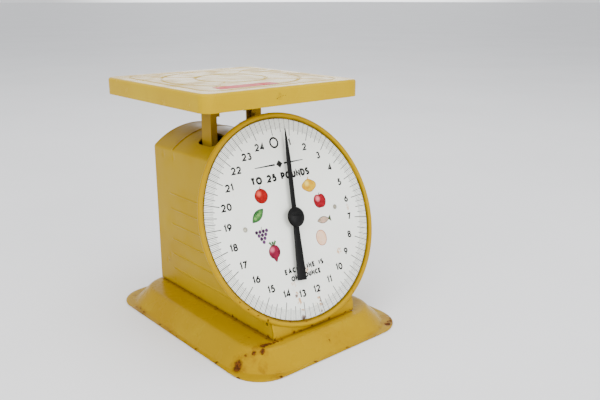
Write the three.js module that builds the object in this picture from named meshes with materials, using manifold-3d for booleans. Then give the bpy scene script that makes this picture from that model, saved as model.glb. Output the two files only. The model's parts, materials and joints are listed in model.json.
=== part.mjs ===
// Spring kitchen scale with a leaning 25 lb dial. Millimetres, +Z up, origin on the floor
// under the middle of the base. The dial faces -Y.
import * as THREE from "three";
import { mergeVertices } from "three/addons/utils/BufferGeometryUtils.js";
import Module from "manifold-3d";

const wasm = await Module();
wasm.setup();

// Driving dimensions
const SHEET = 1.2;                       // sheet steel, thickened a little for strength of the solids
const GAP = 0.3;                         // between pieces that touch
const BASE = { halfX: 81, halfY: 106, corner: 28, flange: 3, height: 15, run: 14, formCorner: 40 };
const WRAP = { halfX: 42.5, front: -80, rear: 86, eaves: 141, ridge: 157 };
const SLOT = { x0: 13, x1: 31.5, y0: 10, y1: 36, corner: 7 };
const RIBS = { count: 6, first: 32, pitch: 14, rear: 63, front: -60, width: 1.6, proud: 0.5 };
const RIVET = { u: 46.3, hole: 1.3 };
const SIDE_HOLE = { y: -72, z: 26.4, radius: 1.2 };
const BUSH_HOLE = 2.9;
const DIAL = { y: -52, z: 98, lean: THREE.MathUtils.degToRad(21), radius: 80.5, thick: 0.7 };
const RIM = { centre: 83.4, section: 2, lift: 0.4, lip: 80.1, lipLow: 0.3, lipHigh: 0.75 };
const FACE = { front: -1.0, radius: 84 };
const FOLD_Z = 22;
const ROUND = 72;                        // facets round the dial's pieces
const PLATFORM = { half: 76.2, y: 27, top: 201.4, depth: 13.8, corner: 9 };
const POST = { outer: 26, flange: 6, halfY: 7, bottom: 44, wideFrom: 171.5, wide: 9 };
const REST_TURN = THREE.MathUtils.degToRad(8.9);
const STROKE = 18.37;
const PINION = { teeth: 14, pitch: 2.8, outer: 3.15, root: 2.25, low: -21.5, high: -11, bore: 1.5 };
const RACK = { low: -14, high: -12, bottom: -48.5, top: 22, back: 7.5, tip: 2.45, root: 3.4 };
const ARBOR_R = 1.2;
const BAR = { y: 4, halfY: 5, low: 131, high: 134, halfX: 32 };
const BRIDGE = { low: 143, high: 145, halfX: 34.5, y0: -4, y1: 12 };
const SPRING = { x: 12, low: 46.4, high: 130.4, radius: 5.2, wire: 0.9, coils: 12 };
const CROSSBAR = { low: 41, high: 43.5, y0: -4, y1: 35 };
const LEVER = { hingeY: 74, reach: 44, upperPin: 120.2, lowerPin: 60.2, armX: 16, pin: 1.4 };
LEVER.rest = Math.atan(STROKE / 2 / LEVER.reach);
const LINK_Y = LEVER.hingeY - LEVER.reach;
const LINK_PINS = [LEVER.upperPin, LEVER.lowerPin];
const FLOOR_TOP = BASE.height + GAP + 1.5;

// Materials
const paint = (color) => new THREE.MeshStandardMaterial({ color, roughness: 0.38, metalness: 0 });
const metal = (color) => new THREE.MeshStandardMaterial({ color, roughness: 0.42, metalness: 1 });
const YELLOW = 0xd0aa1e;
const STEEL = 0x9a9c9e;
const ZINC = 0xb4b6b0;
const BRASS = 0xb98d3e;
const BLACK = 0x1c1d1c;
const WHITE = 0xdfe1db;

// Solids
function toSolid(geometry) {
  const bare = geometry.index ? geometry.toNonIndexed() : geometry.clone();
  bare.deleteAttribute("normal");
  bare.deleteAttribute("uv");
  const merged = mergeVertices(bare, 1e-4);
  return new wasm.Manifold(new wasm.Mesh({
    numProp: 3,
    vertProperties: new Float32Array(merged.attributes.position.array),
    triVerts: new Uint32Array(merged.index.array),
  }));
}

function toGeometry(solid) {
  const mesh = solid.getMesh();
  const geometry = new THREE.BufferGeometry();
  geometry.setAttribute("position", new THREE.BufferAttribute(new Float32Array(mesh.vertProperties), 3));
  geometry.setIndex(new THREE.BufferAttribute(new Uint32Array(mesh.triVerts), 1));
  geometry.computeVertexNormals();
  return geometry;
}

const join = (...geometries) => toGeometry(geometries.map(toSolid).reduce((all, next) => all.add(next)));

const cut = (geometry, ...tools) =>
  toGeometry(tools.map(toSolid).reduce((left, tool) => left.subtract(tool), toSolid(geometry)));

function block(x0, x1, y0, y1, z0, z1) {
  const geometry = new THREE.BoxGeometry(x1 - x0, y1 - y0, z1 - z0);
  return geometry.translate((x0 + x1) / 2, (y0 + y1) / 2, (z0 + z1) / 2);
}

// The same block on the right (side 1) or mirrored to the left (side -1)
function sideBlock(side, x0, x1, ...rest) {
  return side > 0 ? block(x0, x1, ...rest) : block(-x1, -x0, ...rest);
}

function rod(radius, z0, z1, x = 0, y = 0, sides = 16) {
  const geometry = new THREE.CylinderGeometry(radius, radius, z1 - z0, sides);
  return geometry.rotateX(Math.PI / 2).translate(x, y, (z0 + z1) / 2);
}

function rodAlongX(radius, x0, x1, y, z, sides = 12) {
  const geometry = new THREE.CylinderGeometry(radius, radius, x1 - x0, sides);
  return geometry.rotateZ(Math.PI / 2).translate((x0 + x1) / 2, y, z);
}

// A turned piece about Z: the profile is a closed list of [radius, z]
function turned(profile, sides) {
  const points = profile.map(([r, z]) => new THREE.Vector2(r, z));
  return new THREE.LatheGeometry(points, sides).rotateX(Math.PI / 2);
}

function slab(shape, z0, z1, curveSegments = 12) {
  const geometry = new THREE.ExtrudeGeometry(shape, { depth: z1 - z0, bevelEnabled: false, curveSegments });
  return geometry.translate(0, 0, z0);
}

// Extrudes a section drawn as (y, z) along X
function barOfSection(points, x0, x1) {
  const shape = new THREE.Shape(points.map(([y, z]) => new THREE.Vector2(y, z)));
  const geometry = new THREE.ExtrudeGeometry(shape, { depth: x1 - x0, bevelEnabled: false });
  return geometry.rotateX(Math.PI / 2).rotateZ(Math.PI / 2).translate(x0, 0, 0);
}

// A rounded rectangle as a ring of points, the same count for every size
function ringPoints(halfX, halfY, corner, z, steps = 6) {
  const points = [];
  const centres = [[1, 1, 0], [-1, 1, 1], [-1, -1, 2], [1, -1, 3]];
  for (const [signX, signY, quarter] of centres) {
    for (let i = 0; i <= steps; i++) {
      const angle = (quarter + i / steps) * Math.PI / 2;
      const x = signX * (halfX - corner) + corner * Math.cos(angle);
      const y = signY * (halfY - corner) + corner * Math.sin(angle);
      points.push([x, y, z]);
    }
  }
  return points;
}

// A closed pan: rings from the top's edge, over the outside and back inside to the underside
function lofted(rings) {
  const count = rings[0].length;
  const first = rings[0];
  const last = rings[rings.length - 1];
  const positions = [...rings.flat(2), 0, 0, first[0][2], 0, 0, last[0][2]];
  const topCentre = rings.length * count;
  const index = [];
  for (let i = 0; i < count; i++) {
    const next = (i + 1) % count;
    index.push(topCentre, i, next);
    const under = (rings.length - 1) * count;
    index.push(topCentre + 1, under + next, under + i);
    for (let ring = 0; ring < rings.length - 1; ring++) {
      const a = ring * count;
      const b = a + count;
      index.push(a + i, b + i, b + next);
      index.push(a + i, b + next, a + next);
    }
  }
  const geometry = new THREE.BufferGeometry();
  geometry.setAttribute("position", new THREE.Float32BufferAttribute(positions, 3));
  geometry.setIndex(index);
  return geometry;
}

const scale = new THREE.Group();
scale.name = "kitchen_scale";

function place(name, geometry, material, parent = scale) {
  const mesh = new THREE.Mesh(geometry, material);
  mesh.name = name;
  parent.add(mesh);
  return mesh;
}

// Everything about the dial is drawn flat, x right and y up the dial, z out of its face
const dialFrame = new THREE.Group();
dialFrame.position.set(0, DIAL.y, DIAL.z);
dialFrame.rotation.x = Math.PI / 2 - DIAL.lean;
dialFrame.updateMatrixWorld(true);
scale.add(dialFrame);

const fromDial = (geometry) => geometry.applyMatrix4(dialFrame.matrixWorld);
const toDial = (geometry) => geometry.applyMatrix4(dialFrame.matrixWorld.clone().invert());

// Base: a stamped pan with a narrow flange on the floor and a sloping skirt up to a flat top
const BASE_SCREWS = [[-36.5, -68], [36.5, -68], [-36.5, 76], [36.5, 76]];
const SCREW_HOLE = 1.8;

function basePan() {
  const form = BASE.flange + BASE.run;
  const skirtX = BASE.halfX - BASE.flange;
  const skirtY = BASE.halfY - BASE.flange;
  const topX = BASE.halfX - form;
  const topY = BASE.halfY - form;
  const inner = BASE.formCorner - SHEET;
  const pan = lofted([
    ringPoints(topX, topY, BASE.formCorner - BASE.run, BASE.height),
    ringPoints(skirtX, skirtY, BASE.formCorner, SHEET),
    ringPoints(BASE.halfX, BASE.halfY, BASE.corner, SHEET),
    ringPoints(BASE.halfX, BASE.halfY, BASE.corner, 0),
    ringPoints(skirtX - SHEET * 0.5, skirtY - SHEET * 0.5, inner, 0),
    ringPoints(topX - SHEET * 0.5, topY - SHEET * 0.5, inner - BASE.run, BASE.height - SHEET),
  ]);
  return cut(pan, ...BASE_SCREWS.map(([x, y]) => rod(SCREW_HOLE, 10, 20, x, y)));
}

function baseScrew(x, y) {
  const head = BASE.height - SHEET - GAP;
  return turned([[0, head - 2], [2.4, head - 2], [3.4, head - 1], [3.4, head], [1.5, head], [1.5, 20], [0, 20]], 16)
    .translate(x, y, 0);
}

// Housing: one sheet bent over into two walls and an arched roof
function archPoints(inset, steps = 18) {
  const rise = WRAP.ridge - WRAP.eaves;
  const radius = (WRAP.halfX ** 2 + rise ** 2) / (2 * rise);
  const centre = WRAP.ridge - radius;
  const outer = radius - inset;
  const edge = WRAP.halfX - inset;
  const half = Math.asin(edge / outer);
  return Array.from({ length: steps + 1 }, (_, i) => {
    const angle = half - 2 * half * i / steps;
    return [outer * Math.sin(angle), centre + outer * Math.cos(angle)];
  });
}

function archShape(inset, bottom) {
  const edge = WRAP.halfX - inset;
  const outline = [[edge, bottom], ...archPoints(inset), [-edge, bottom]];
  return new THREE.Shape(outline.map(([x, z]) => new THREE.Vector2(x, z)));
}

function archSlab(inset, bottom, y0, y1) {
  return slab(archShape(inset, bottom), 0, y1 - y0).rotateX(Math.PI / 2).translate(0, y1, 0);
}

function slotShape() {
  const { x0, x1, y0, y1, corner } = SLOT;
  const shape = new THREE.Shape();
  shape.moveTo(x0 + corner, y0);
  shape.lineTo(x1 - corner, y0);
  shape.absarc(x1 - corner, y0 + corner, corner, -Math.PI / 2, 0);
  shape.lineTo(x1, y1 - corner);
  shape.absarc(x1 - corner, y1 - corner, corner, 0, Math.PI / 2);
  shape.lineTo(x0 + corner, y1);
  shape.absarc(x0 + corner, y1 - corner, corner, Math.PI / 2, Math.PI);
  shape.lineTo(x0, y0 + corner);
  shape.absarc(x0 + corner, y0 + corner, corner, Math.PI, Math.PI * 1.5);
  return shape;
}

function slotCutter(side) {
  const cutter = slab(slotShape(), 130, 170, 4);
  return side > 0 ? cutter : cutter.rotateZ(Math.PI).translate(0, SLOT.y0 + SLOT.y1, 0);
}

function wallRibs() {
  const ribs = [];
  for (const side of [-1, 1]) {
    for (let i = 0; i < RIBS.count; i++) {
      const z = RIBS.first + RIBS.pitch * i;
      const x = side * WRAP.halfX;
      const half = RIBS.width / 2;
      ribs.push(block(x - RIBS.proud, x + RIBS.proud, RIBS.front, RIBS.rear, z - half, z + half));
    }
  }
  return ribs;
}

// The space in front of the face sheet, which the housing stops short of
function inFrontOfFace(gap) {
  const lean = fromDial(block(-120, 120, -160, 160, FACE.front - SHEET - gap, 80));
  const upright = block(-120, 120, WRAP.front - 60, WRAP.front + SHEET + gap, 0, 200);
  return [lean, upright];
}

function housingWrap() {
  const bottom = BASE.height + GAP;
  const outside = join(archSlab(0, bottom, WRAP.front, WRAP.rear), ...wallRibs());
  const hollow = archSlab(SHEET, bottom + SHEET, WRAP.front - 1, WRAP.rear + 1);
  const underside = block(-31, 31, WRAP.front - 1, WRAP.rear + 1, bottom - 1, bottom + SHEET + 1);
  const holes = BASE_SCREWS.map(([x, y]) => rod(SCREW_HOLE, 10, 20, x, y));
  const sideHoles = rodAlongX(SIDE_HOLE.radius, -60, 60, SIDE_HOLE.y, SIDE_HOLE.z);
  const adjusterHole = rod(2.6, 140, 170, 0, BAR.y);
  return cut(outside, hollow, underside, ...holes, sideHoles, adjusterHole,
    slotCutter(-1), slotCutter(1), ...inFrontOfFace(GAP));
}

function rearCover() {
  const inset = SHEET + GAP;
  const bottom = BASE.height + GAP + SHEET + GAP;
  const plate = archSlab(inset, bottom, WRAP.rear - 10, WRAP.rear - 0.2);
  const inside = archSlab(inset + SHEET, bottom + SHEET, WRAP.rear - 11, WRAP.rear - 0.2 - SHEET);
  const screwRoom = block(-60, 60, WRAP.rear - 20, WRAP.rear - 1.6, 0, 21.5);
  return cut(plate, inside, screwRoom);
}

// Front: a face sheet with a rolled rim round the dial and an upright strip along the bottom
function rolledRim() {
  const sides = 10;
  const profile = Array.from({ length: sides + 1 }, (_, i) => {
    const angle = i / sides * 2 * Math.PI;
    return [RIM.centre + RIM.section * Math.cos(angle), RIM.lift + RIM.section * Math.sin(angle)];
  });
  const { lip, lipLow, lipHigh, centre } = RIM;
  const hold = [[lip, lipLow], [centre, lipLow], [centre, lipHigh], [lip, lipHigh], [lip, lipLow]];
  return join(turned(profile, ROUND), turned(hold, ROUND));
}

function faceSheet() {
  const foldV = (FOLD_Z - DIAL.z - FACE.front * Math.sin(DIAL.lean)) / Math.cos(DIAL.lean);
  const back = FACE.front - SHEET;
  const disc = rod(FACE.radius, back, FACE.front, 0, 0, ROUND);
  const lower = block(-WRAP.halfX, WRAP.halfX, foldV - 1.5, -50, back, FACE.front);
  const trimmed = cut(lower, toDial(block(-99, 99, -99, WRAP.front, 0, 60)));
  return join(disc, trimmed);
}

const rivetHoles = () => [-1, 1].map((side) => rod(RIVET.hole, -9, 9, side * RIVET.u, 0, 12));

function frontShell() {
  const bottom = BASE.height + GAP;
  const rim = cut(rolledRim(), block(-WRAP.halfX, WRAP.halfX, -100, -60, -9, 9));
  const upright = block(-WRAP.halfX, WRAP.halfX, WRAP.front, WRAP.front + SHEET, bottom, FOLD_Z + 0.3);
  const flangeX = WRAP.halfX - SHEET - GAP;
  const flange = (x0, x1) => cut(block(x0, x1, WRAP.front, -66, bottom + SHEET + GAP, 34),
    fromDial(block(-120, 120, -160, 160, FACE.front - 0.2, 80)));
  const sheet = join(fromDial(join(faceSheet(), rim)), upright, flange(-flangeX, -flangeX + SHEET),
    flange(flangeX - SHEET, flangeX));
  const bushHole = fromDial(rod(BUSH_HOLE, -9, 9));
  const sideHoles = rodAlongX(SIDE_HOLE.radius, -60, 60, SIDE_HOLE.y, SIDE_HOLE.z);
  return cut(sheet, bushHole, ...rivetHoles().map(fromDial), sideHoles);
}

function dialPlate() {
  const plate = rod(DIAL.radius, -DIAL.thick, 0, 0, 0, ROUND);
  return cut(plate, rod(BUSH_HOLE, -5, 5), ...rivetHoles());
}

const dialRivet = (x) => turned([[0, -2.5], [1, -2.5], [1, GAP], [2, GAP], [1.6, 0.8], [0, 1]], 12).translate(x, 0, 0);

const dialBush = () => turned([[1.5, -5.5], [4.4, -5.5], [4.4, -2.5], [2.6, -2.5], [2.6, 0.9], [1.5, 0.9], [1.5, -5.5]], 16);

// Pointer and its shaft, turned clockwise from the zero mark where the pointer rests
function pointerBlade() {
  const shape = new THREE.Shape();
  shape.moveTo(-0.35, 71.5);
  shape.lineTo(-2.9, 4);
  shape.absarc(0, 0, 6.2, Math.PI * 0.68, Math.PI * 1.4);
  shape.lineTo(-4.1, -48.5);
  shape.lineTo(-3.6, -49.7);
  shape.lineTo(3.6, -49.7);
  shape.lineTo(4.1, -48.5);
  shape.absarc(0, 0, 6.2, -Math.PI * 0.4, Math.PI * 0.32);
  shape.lineTo(2.9, 4);
  shape.lineTo(0.35, 71.5);
  return cut(slab(shape, 3.4, 4.2, 8), rod(1.5, 0, 9));
}

const pointerHub = () =>
  turned([[0, 5.2], [1.5, 5.2], [1.5, 4.5], [8.1, 4.5], [8.1, 5.2], [7.2, 6.4], [5.2, 7.4], [2.6, 7.9], [0, 8]], 24);

const pointerCollet = () => turned([[1.5, 1.5], [3.4, 1.5], [3.4, 3.1], [1.5, 3.1], [1.5, 1.5]], 16);

function pinion() {
  const tooth = 2 * Math.PI / PINION.teeth;
  const outline = [];
  for (let i = 0; i < PINION.teeth; i++) {
    const middle = i * tooth;
    const corners = [[-0.2, PINION.root], [-0.075, PINION.outer], [0.075, PINION.outer], [0.2, PINION.root]];
    for (const [turn, radius] of corners) {
      const angle = middle + turn * tooth;
      outline.push(new THREE.Vector2(radius * Math.cos(angle), radius * Math.sin(angle)));
    }
  }
  return cut(slab(new THREE.Shape(outline), PINION.low, PINION.high), rod(PINION.bore, -30, 0));
}

function rackBlade() {
  const pitch = 2 * Math.PI * PINION.pitch / PINION.teeth;
  const outline = [new THREE.Vector2(RACK.back, RACK.bottom), new THREE.Vector2(RACK.back, RACK.top)];
  for (let k = 16; k >= -4; k--) {
    const middle = (k + 0.5) * pitch;
    const corners = [[0.2, RACK.root], [0.08, RACK.tip], [-0.08, RACK.tip], [-0.2, RACK.root]];
    corners.forEach(([step, u]) => outline.push(new THREE.Vector2(u, middle + step * pitch)));
  }
  outline.push(new THREE.Vector2(RACK.root, RACK.bottom));
  return slab(new THREE.Shape(outline), RACK.low, RACK.high);
}

// A strap bridging the back of the dial that holds the shaft's rear end
function arborBracket() {
  const strap = cut(block(-22, 22, -5, 5, -25, -2.5), block(-20.5, 20.5, -6, 6, -23.5, -1));
  const feet = [block(-28, -21, -5, 5, -4, -2.5), block(21, 28, -5, 5, -4, -2.5)];
  return cut(join(strap, ...feet), rod(BUSH_HOLE, -30, -20));
}

const rearBush = () => turned([[1.5, -27], [2.6, -27], [2.6, -23.2], [4, -23.2], [4, -22.2], [1.5, -22.2], [1.5, -27]], 16);

// Frame that the springs hang from
const frameFloor = () => block(-30, 30, -8, 82, BASE.height + GAP, FLOOR_TOP);

function frameUpright(side) {
  const foot = FLOOR_TOP + GAP;
  const head = BRIDGE.low - GAP;
  return join(
    sideBlock(side, 33, 34.5, BRIDGE.y0, BRIDGE.y1, foot, head),
    sideBlock(side, 22, 34.5, BRIDGE.y0, BRIDGE.y1, foot, foot + 1.5),
    sideBlock(side, 25, 34.5, BRIDGE.y0, BRIDGE.y1, head - 1.5, head),
  );
}

const frameBridge = () =>
  cut(block(-BRIDGE.halfX, BRIDGE.halfX, BRIDGE.y0, BRIDGE.y1, BRIDGE.low, BRIDGE.high), rod(2.4, 130, 160, 0, BAR.y));

const springBar = () => cut(
  block(-BAR.halfX, BAR.halfX, BAR.y - BAR.halfY, BAR.y + BAR.halfY, BAR.low, BAR.high),
  rod(2.4, 120, 150, 0, BAR.y),
  rod(1.5, 120, 150, -SPRING.x, BAR.y + 2.5, 8),
  rod(1.5, 120, 150, SPRING.x, BAR.y + 2.5, 8),
);

const adjustScrew = () => turned([[0, 127], [1.9, 127], [1.9, 158], [0, 158]], 12).translate(0, BAR.y, 0);

function adjustKnob() {
  const knob = turned([[0, 159.5], [2.3, 159.5], [2.3, 158.2], [4, 158.2], [8, 160], [8, 166], [7.2, 167], [0, 167]], 24);
  return knob.translate(0, BAR.y, 0);
}

class Helix extends THREE.Curve {
  getPoint(t) {
    const angle = t * SPRING.coils * 2 * Math.PI;
    const height = SPRING.high - SPRING.low - 2 * SPRING.wire;
    const z = SPRING.low + SPRING.wire + t * height;
    return new THREE.Vector3(SPRING.radius * Math.cos(angle), SPRING.radius * Math.sin(angle), z);
  }
}

function spring(x) {
  const section = new THREE.Shape();
  for (let i = 0; i < 6; i++) {
    const angle = i / 6 * 2 * Math.PI;
    const place2d = [SPRING.wire * Math.cos(angle), SPRING.wire * Math.sin(angle)];
    if (i === 0) section.moveTo(...place2d);
    else section.lineTo(...place2d);
  }
  const path = new Helix();
  const coil = new THREE.ExtrudeGeometry(section, { steps: SPRING.coils * 9, extrudePath: path, bevelEnabled: false });
  return coil.translate(x, BAR.y, 0);
}

// Parallel-motion levers behind the posts, and the bracket that they swing on
function checkLever() {
  const arms = [-1, 1].map((side) => {
    const x = side * LEVER.armX;
    const arm = block(x - 0.8, x + 0.8, -LEVER.reach - 5, 3.6, -3.6, 3.6);
    const slotLength = 0.55;
    const slot = join(
      block(x - 2, x + 2, -LEVER.reach - 0.5 - slotLength, -LEVER.reach - 0.5 + slotLength, -LEVER.pin - 0.4, LEVER.pin + 0.4),
      rodAlongX(LEVER.pin + 0.4, x - 2, x + 2, -LEVER.reach - 0.5 - slotLength, 0),
      rodAlongX(LEVER.pin + 0.4, x - 2, x + 2, -LEVER.reach - 0.5 + slotLength, 0),
    );
    return cut(arm, slot, rodAlongX(LEVER.pin + 0.2, x - 2, x + 2, 0, 0));
  });
  const tie = block(-LEVER.armX, LEVER.armX, -30, -16, 2.4, 3.6);
  return join(...arms, tie);
}

function leverBracket() {
  const plate = block(-24, 24, 79.8, 81.3, FLOOR_TOP + GAP, 118);
  const ears = [LEVER.upperPin, LEVER.lowerPin].flatMap((pinZ) => [-1, 1].map((side) => {
    const z = pinZ - STROKE / 2;
    return cut(block(side * 19.5 - 0.8, side * 19.5 + 0.8, LEVER.hingeY - 4, 80.5, z - 4, z + 4),
      rodAlongX(LEVER.pin + GAP, -30, 30, LEVER.hingeY, z));
  }));
  return join(plate, ...ears);
}

const leverPin = (pinZ) => rodAlongX(LEVER.pin, -22, 22, LEVER.hingeY, pinZ - STROKE / 2);

// Platform and the frame that moves with it
function platformPan() {
  const { half, top, depth, corner } = PLATFORM;
  const low = top - depth;
  const inner = half - SHEET;
  const pan = lofted([
    ringPoints(half - 1.2, half - 1.2, corner - 1.2, top, 4),
    ringPoints(half - 0.35, half - 0.35, corner - 0.35, top - 0.4, 4),
    ringPoints(half, half, corner, top - 1.2, 4),
    ringPoints(half, half, corner, low, 4),
    ringPoints(inner, inner, corner - SHEET, low, 4),
    ringPoints(inner, inner, corner - SHEET, top - SHEET, 4),
  ]);
  const diagonal = half * Math.SQRT2;
  const groove = 0.35;
  const width = 0.9;
  const ringGroove = (share) => {
    const middle = share * diagonal;
    return turned([[middle - width, top + 1], [middle - width, top - groove], [middle + width, top - groove],
      [middle + width, top + 1], [middle - width, top + 1]], 48);
  };
  const rays = [0, 1, 2, 3].map((quarter) =>
    block(0.25 * diagonal, 0.63 * diagonal, -width, width, top - groove, top + 1).rotateZ((quarter + 0.5) * Math.PI / 2));
  return cut(pan, ringGroove(0.275), ringGroove(0.533), ...rays).translate(0, PLATFORM.y, 0);
}

function platformSpider() {
  const z1 = PLATFORM.top - SHEET - GAP;
  const across = block(-62, 62, PLATFORM.y - 13, PLATFORM.y + 13, z1 - 2, z1);
  const along = block(-14, 14, PLATFORM.y - 58, PLATFORM.y + 58, z1 - 2, z1);
  return join(across, along);
}

function post(side) {
  const { outer, flange, halfY, bottom, wideFrom, wide } = POST;
  const top = PLATFORM.top - SHEET - 2 * GAP - 2;
  const channel = join(
    sideBlock(side, outer - 1.5, outer, -halfY, halfY, bottom, top),
    sideBlock(side, outer - flange, outer, -halfY, 1.5 - halfY, bottom, top),
    sideBlock(side, outer - flange, outer, halfY - 1.5, halfY, bottom, top),
    sideBlock(side, outer - wide, outer, -halfY, 1.5 - halfY, wideFrom, top),
    sideBlock(side, outer - wide, outer, halfY - 1.5, halfY, wideFrom, top),
  ).translate(0, PLATFORM.y, 0);
  return cut(channel, ...LINK_PINS.map((z) => rodAlongX(LEVER.pin + GAP, -40, 40, LINK_Y, z)));
}

const linkPin = (z) => rodAlongX(LEVER.pin, -27, 27, LINK_Y, z);

const lowerCrossbar = () => cut(
  block(-POST.outer, POST.outer, CROSSBAR.y0, CROSSBAR.y1, CROSSBAR.low, CROSSBAR.high),
  rod(1.5, 30, 50, -SPRING.x, BAR.y + 2.5, 8),
  rod(1.5, 30, 50, SPRING.x, BAR.y + 2.5, 8),
);

const rackArm = () => block(2.5, 11, -60, 16, CROSSBAR.high + GAP, CROSSBAR.high + GAP + 2.5);

// Assembly
place("base_pan", basePan(), paint(YELLOW));
BASE_SCREWS.forEach(([x, y], i) => place(`base_screw_${i + 1}`, baseScrew(x, y), metal(ZINC)));
place("housing_wrap", housingWrap(), paint(YELLOW));
place("rear_cover", rearCover(), paint(YELLOW));
place("front_shell", frontShell(), paint(YELLOW));

place("dial_plate", dialPlate(), paint(WHITE), dialFrame);
place("dial_rivet_left", dialRivet(-RIVET.u), metal(ZINC), dialFrame);
place("dial_rivet_right", dialRivet(RIVET.u), metal(ZINC), dialFrame);
place("dial_bush", dialBush(), metal(BRASS), dialFrame);
place("arbor_bracket", arborBracket(), metal(STEEL), dialFrame);
place("arbor_rear_bush", rearBush(), metal(BRASS), dialFrame);

const turning = new THREE.Group();
turning.rotation.z = -REST_TURN;
dialFrame.add(turning);
place("pointer", pointerBlade(), paint(BLACK), turning);
place("pointer_hub", pointerHub(), paint(BLACK), turning);
place("pointer_collet", pointerCollet(), metal(BRASS), turning);
place("arbor", rod(ARBOR_R, -27.5, 4.9), metal(STEEL), dialFrame);
place("pinion", pinion(), metal(BRASS), dialFrame);
place("rack", rackBlade(), metal(BRASS), dialFrame);

place("frame_floor", frameFloor(), metal(STEEL));
place("frame_upright_left", frameUpright(-1), metal(STEEL));
place("frame_upright_right", frameUpright(1), metal(STEEL));
place("frame_bridge", frameBridge(), metal(STEEL));
place("spring_bar", springBar(), metal(STEEL));
place("adjust_screw", adjustScrew(), metal(ZINC));
place("adjust_knob", adjustKnob(), metal(ZINC));
place("main_spring_left", spring(-SPRING.x), metal(STEEL));
place("main_spring_right", spring(SPRING.x), metal(STEEL));
place("lever_bracket", leverBracket(), metal(STEEL));
place("lever_pin_upper", leverPin(LEVER.upperPin), metal(ZINC));
place("lever_pin_lower", leverPin(LEVER.lowerPin), metal(ZINC));
for (const [name, pinZ] of [["check_lever_upper", LEVER.upperPin], ["check_lever_lower", LEVER.lowerPin]]) {
  const lever = place(name, checkLever(), metal(STEEL));
  lever.position.set(0, LEVER.hingeY, pinZ - STROKE / 2);
  lever.rotation.x = -LEVER.rest;
}

place("platform_pan", platformPan(), paint(YELLOW));
place("platform_spider", platformSpider(), metal(STEEL));
place("post_left", post(-1), paint(YELLOW));
place("post_right", post(1), paint(YELLOW));
place("link_pin_upper", linkPin(LEVER.upperPin), metal(ZINC));
place("link_pin_lower", linkPin(LEVER.lowerPin), metal(ZINC));
place("lower_crossbar", lowerCrossbar(), metal(STEEL));
place("rack_arm", rackArm(), metal(STEEL));

export default scale;
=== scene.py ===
"""Looks of the spring kitchen scale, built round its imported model.

Lengths are in millimetres until make() turns them into metres. The dial's own frame is u to its
right, v up its face and w out of it.
"""
import json
import math
import random

import bmesh
import bpy
from mathutils import Matrix, Vector


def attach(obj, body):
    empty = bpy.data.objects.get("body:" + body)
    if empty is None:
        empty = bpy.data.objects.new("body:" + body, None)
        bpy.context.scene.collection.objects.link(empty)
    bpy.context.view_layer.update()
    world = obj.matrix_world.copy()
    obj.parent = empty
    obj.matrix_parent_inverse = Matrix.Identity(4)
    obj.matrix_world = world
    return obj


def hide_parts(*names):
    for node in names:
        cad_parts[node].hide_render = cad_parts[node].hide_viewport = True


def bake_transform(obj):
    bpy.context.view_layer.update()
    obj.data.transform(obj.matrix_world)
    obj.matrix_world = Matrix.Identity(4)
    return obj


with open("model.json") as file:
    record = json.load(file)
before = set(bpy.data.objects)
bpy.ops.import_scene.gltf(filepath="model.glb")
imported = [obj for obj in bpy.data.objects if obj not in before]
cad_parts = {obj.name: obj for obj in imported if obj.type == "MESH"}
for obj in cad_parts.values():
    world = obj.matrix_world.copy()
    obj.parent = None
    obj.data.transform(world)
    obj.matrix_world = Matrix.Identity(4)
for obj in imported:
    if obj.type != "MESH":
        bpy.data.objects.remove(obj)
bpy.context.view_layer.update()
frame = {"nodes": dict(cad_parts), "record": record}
MM = 0.001

# Camera
CAMERA_AT = (-0.3357, -0.4500, 0.2642)
CAMERA_LOOK = (0.6276, 0.7265, -0.2795)
CAMERA_LENS = 41.33
SENSOR = 36.0
ROOM_LIGHT = 1.0
BACK_LIGHT = 3.0
GLOW_TOWARD = (0.65, 0.75, 0.10)
GLOW_EDGES = (0.935, 0.992)

# Housing, base and platform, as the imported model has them
SHEET = 1.2
GAP = 0.3
WALL_X = 42.5
EAVES_Z = 141.0
RIDGE_Z = 157.0
REAR_Y = 86.0
FRONT_Y = -80.0
FOOT_Z = 15.3
RIB_FIRST_Z = 32.0
RIB_PITCH = 14.0
RIB_COUNT = 6
RIB_REAR_Y = 63.0
ROOF_BEAD_Y = 56.0
SLOT = {"x0": 13.0, "x1": 31.5, "y0": 10.0, "y1": 36.0, "corner": 7.0}
SIDE_HOLE = (-72.0, 26.4)
FOOT_SCREW_HOLE = 1.8
ADJUSTER_HOLE = 2.6
SPRING_Y = 4.0
PLATE_HALF = 76.2
PLATE_Y = 27.0
PLATE_TOP = 201.4
PLATE_DEPTH = 13.8

# Dial
DIAL_AT = (0.0, -52.0, 98.0)
DIAL_LEAN = math.radians(21)
REST_TURN = math.radians(8.9)
DIVISIONS = 25
OUNCES = 16
NUMERAL_RING = 60.9
MARK_END = 80.2
RIM_STEPS = 288
RIM_CROWN = 84.0
RIM_CROWN_W = 2.0
RIM_CENTRE = 83.4
RIM_SECTION = 2.0
RIM_LIFT = 0.4
LIP = {"radius": 80.1, "low": 0.3, "high": 0.75}
FACE_W = -1.0
DIAL_FRAME = Matrix((
    (1, 0, 0, DIAL_AT[0]),
    (0, math.sin(DIAL_LEAN), -math.cos(DIAL_LEAN), DIAL_AT[1]),
    (0, math.cos(DIAL_LEAN), math.sin(DIAL_LEAN), DIAL_AT[2]),
    (0, 0, 0, 1),
))
POINTER_FRAME = DIAL_FRAME @ Matrix.Rotation(-REST_TURN, 4, "Z")

# Paint, as linear colours
YELLOW = (0.335, 0.213, 0.0)
YELLOW_DEEP = (0.265, 0.145, 0.0)
YELLOW_PALE = (0.40, 0.285, 0.004)
# Painted shade for the seam where the dial's rim meets the dial
SEAM_SHADE = (0.060, 0.036, 0.0)
STAIN = (0.17, 0.072, 0.004)
RUST = (0.040, 0.011, 0.004)
RUST_LIGHT = (0.12, 0.036, 0.008)
BLACK = (0.004, 0.004, 0.004)
GLOSS_TINT = (1.0, 0.72, 0.10)


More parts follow.
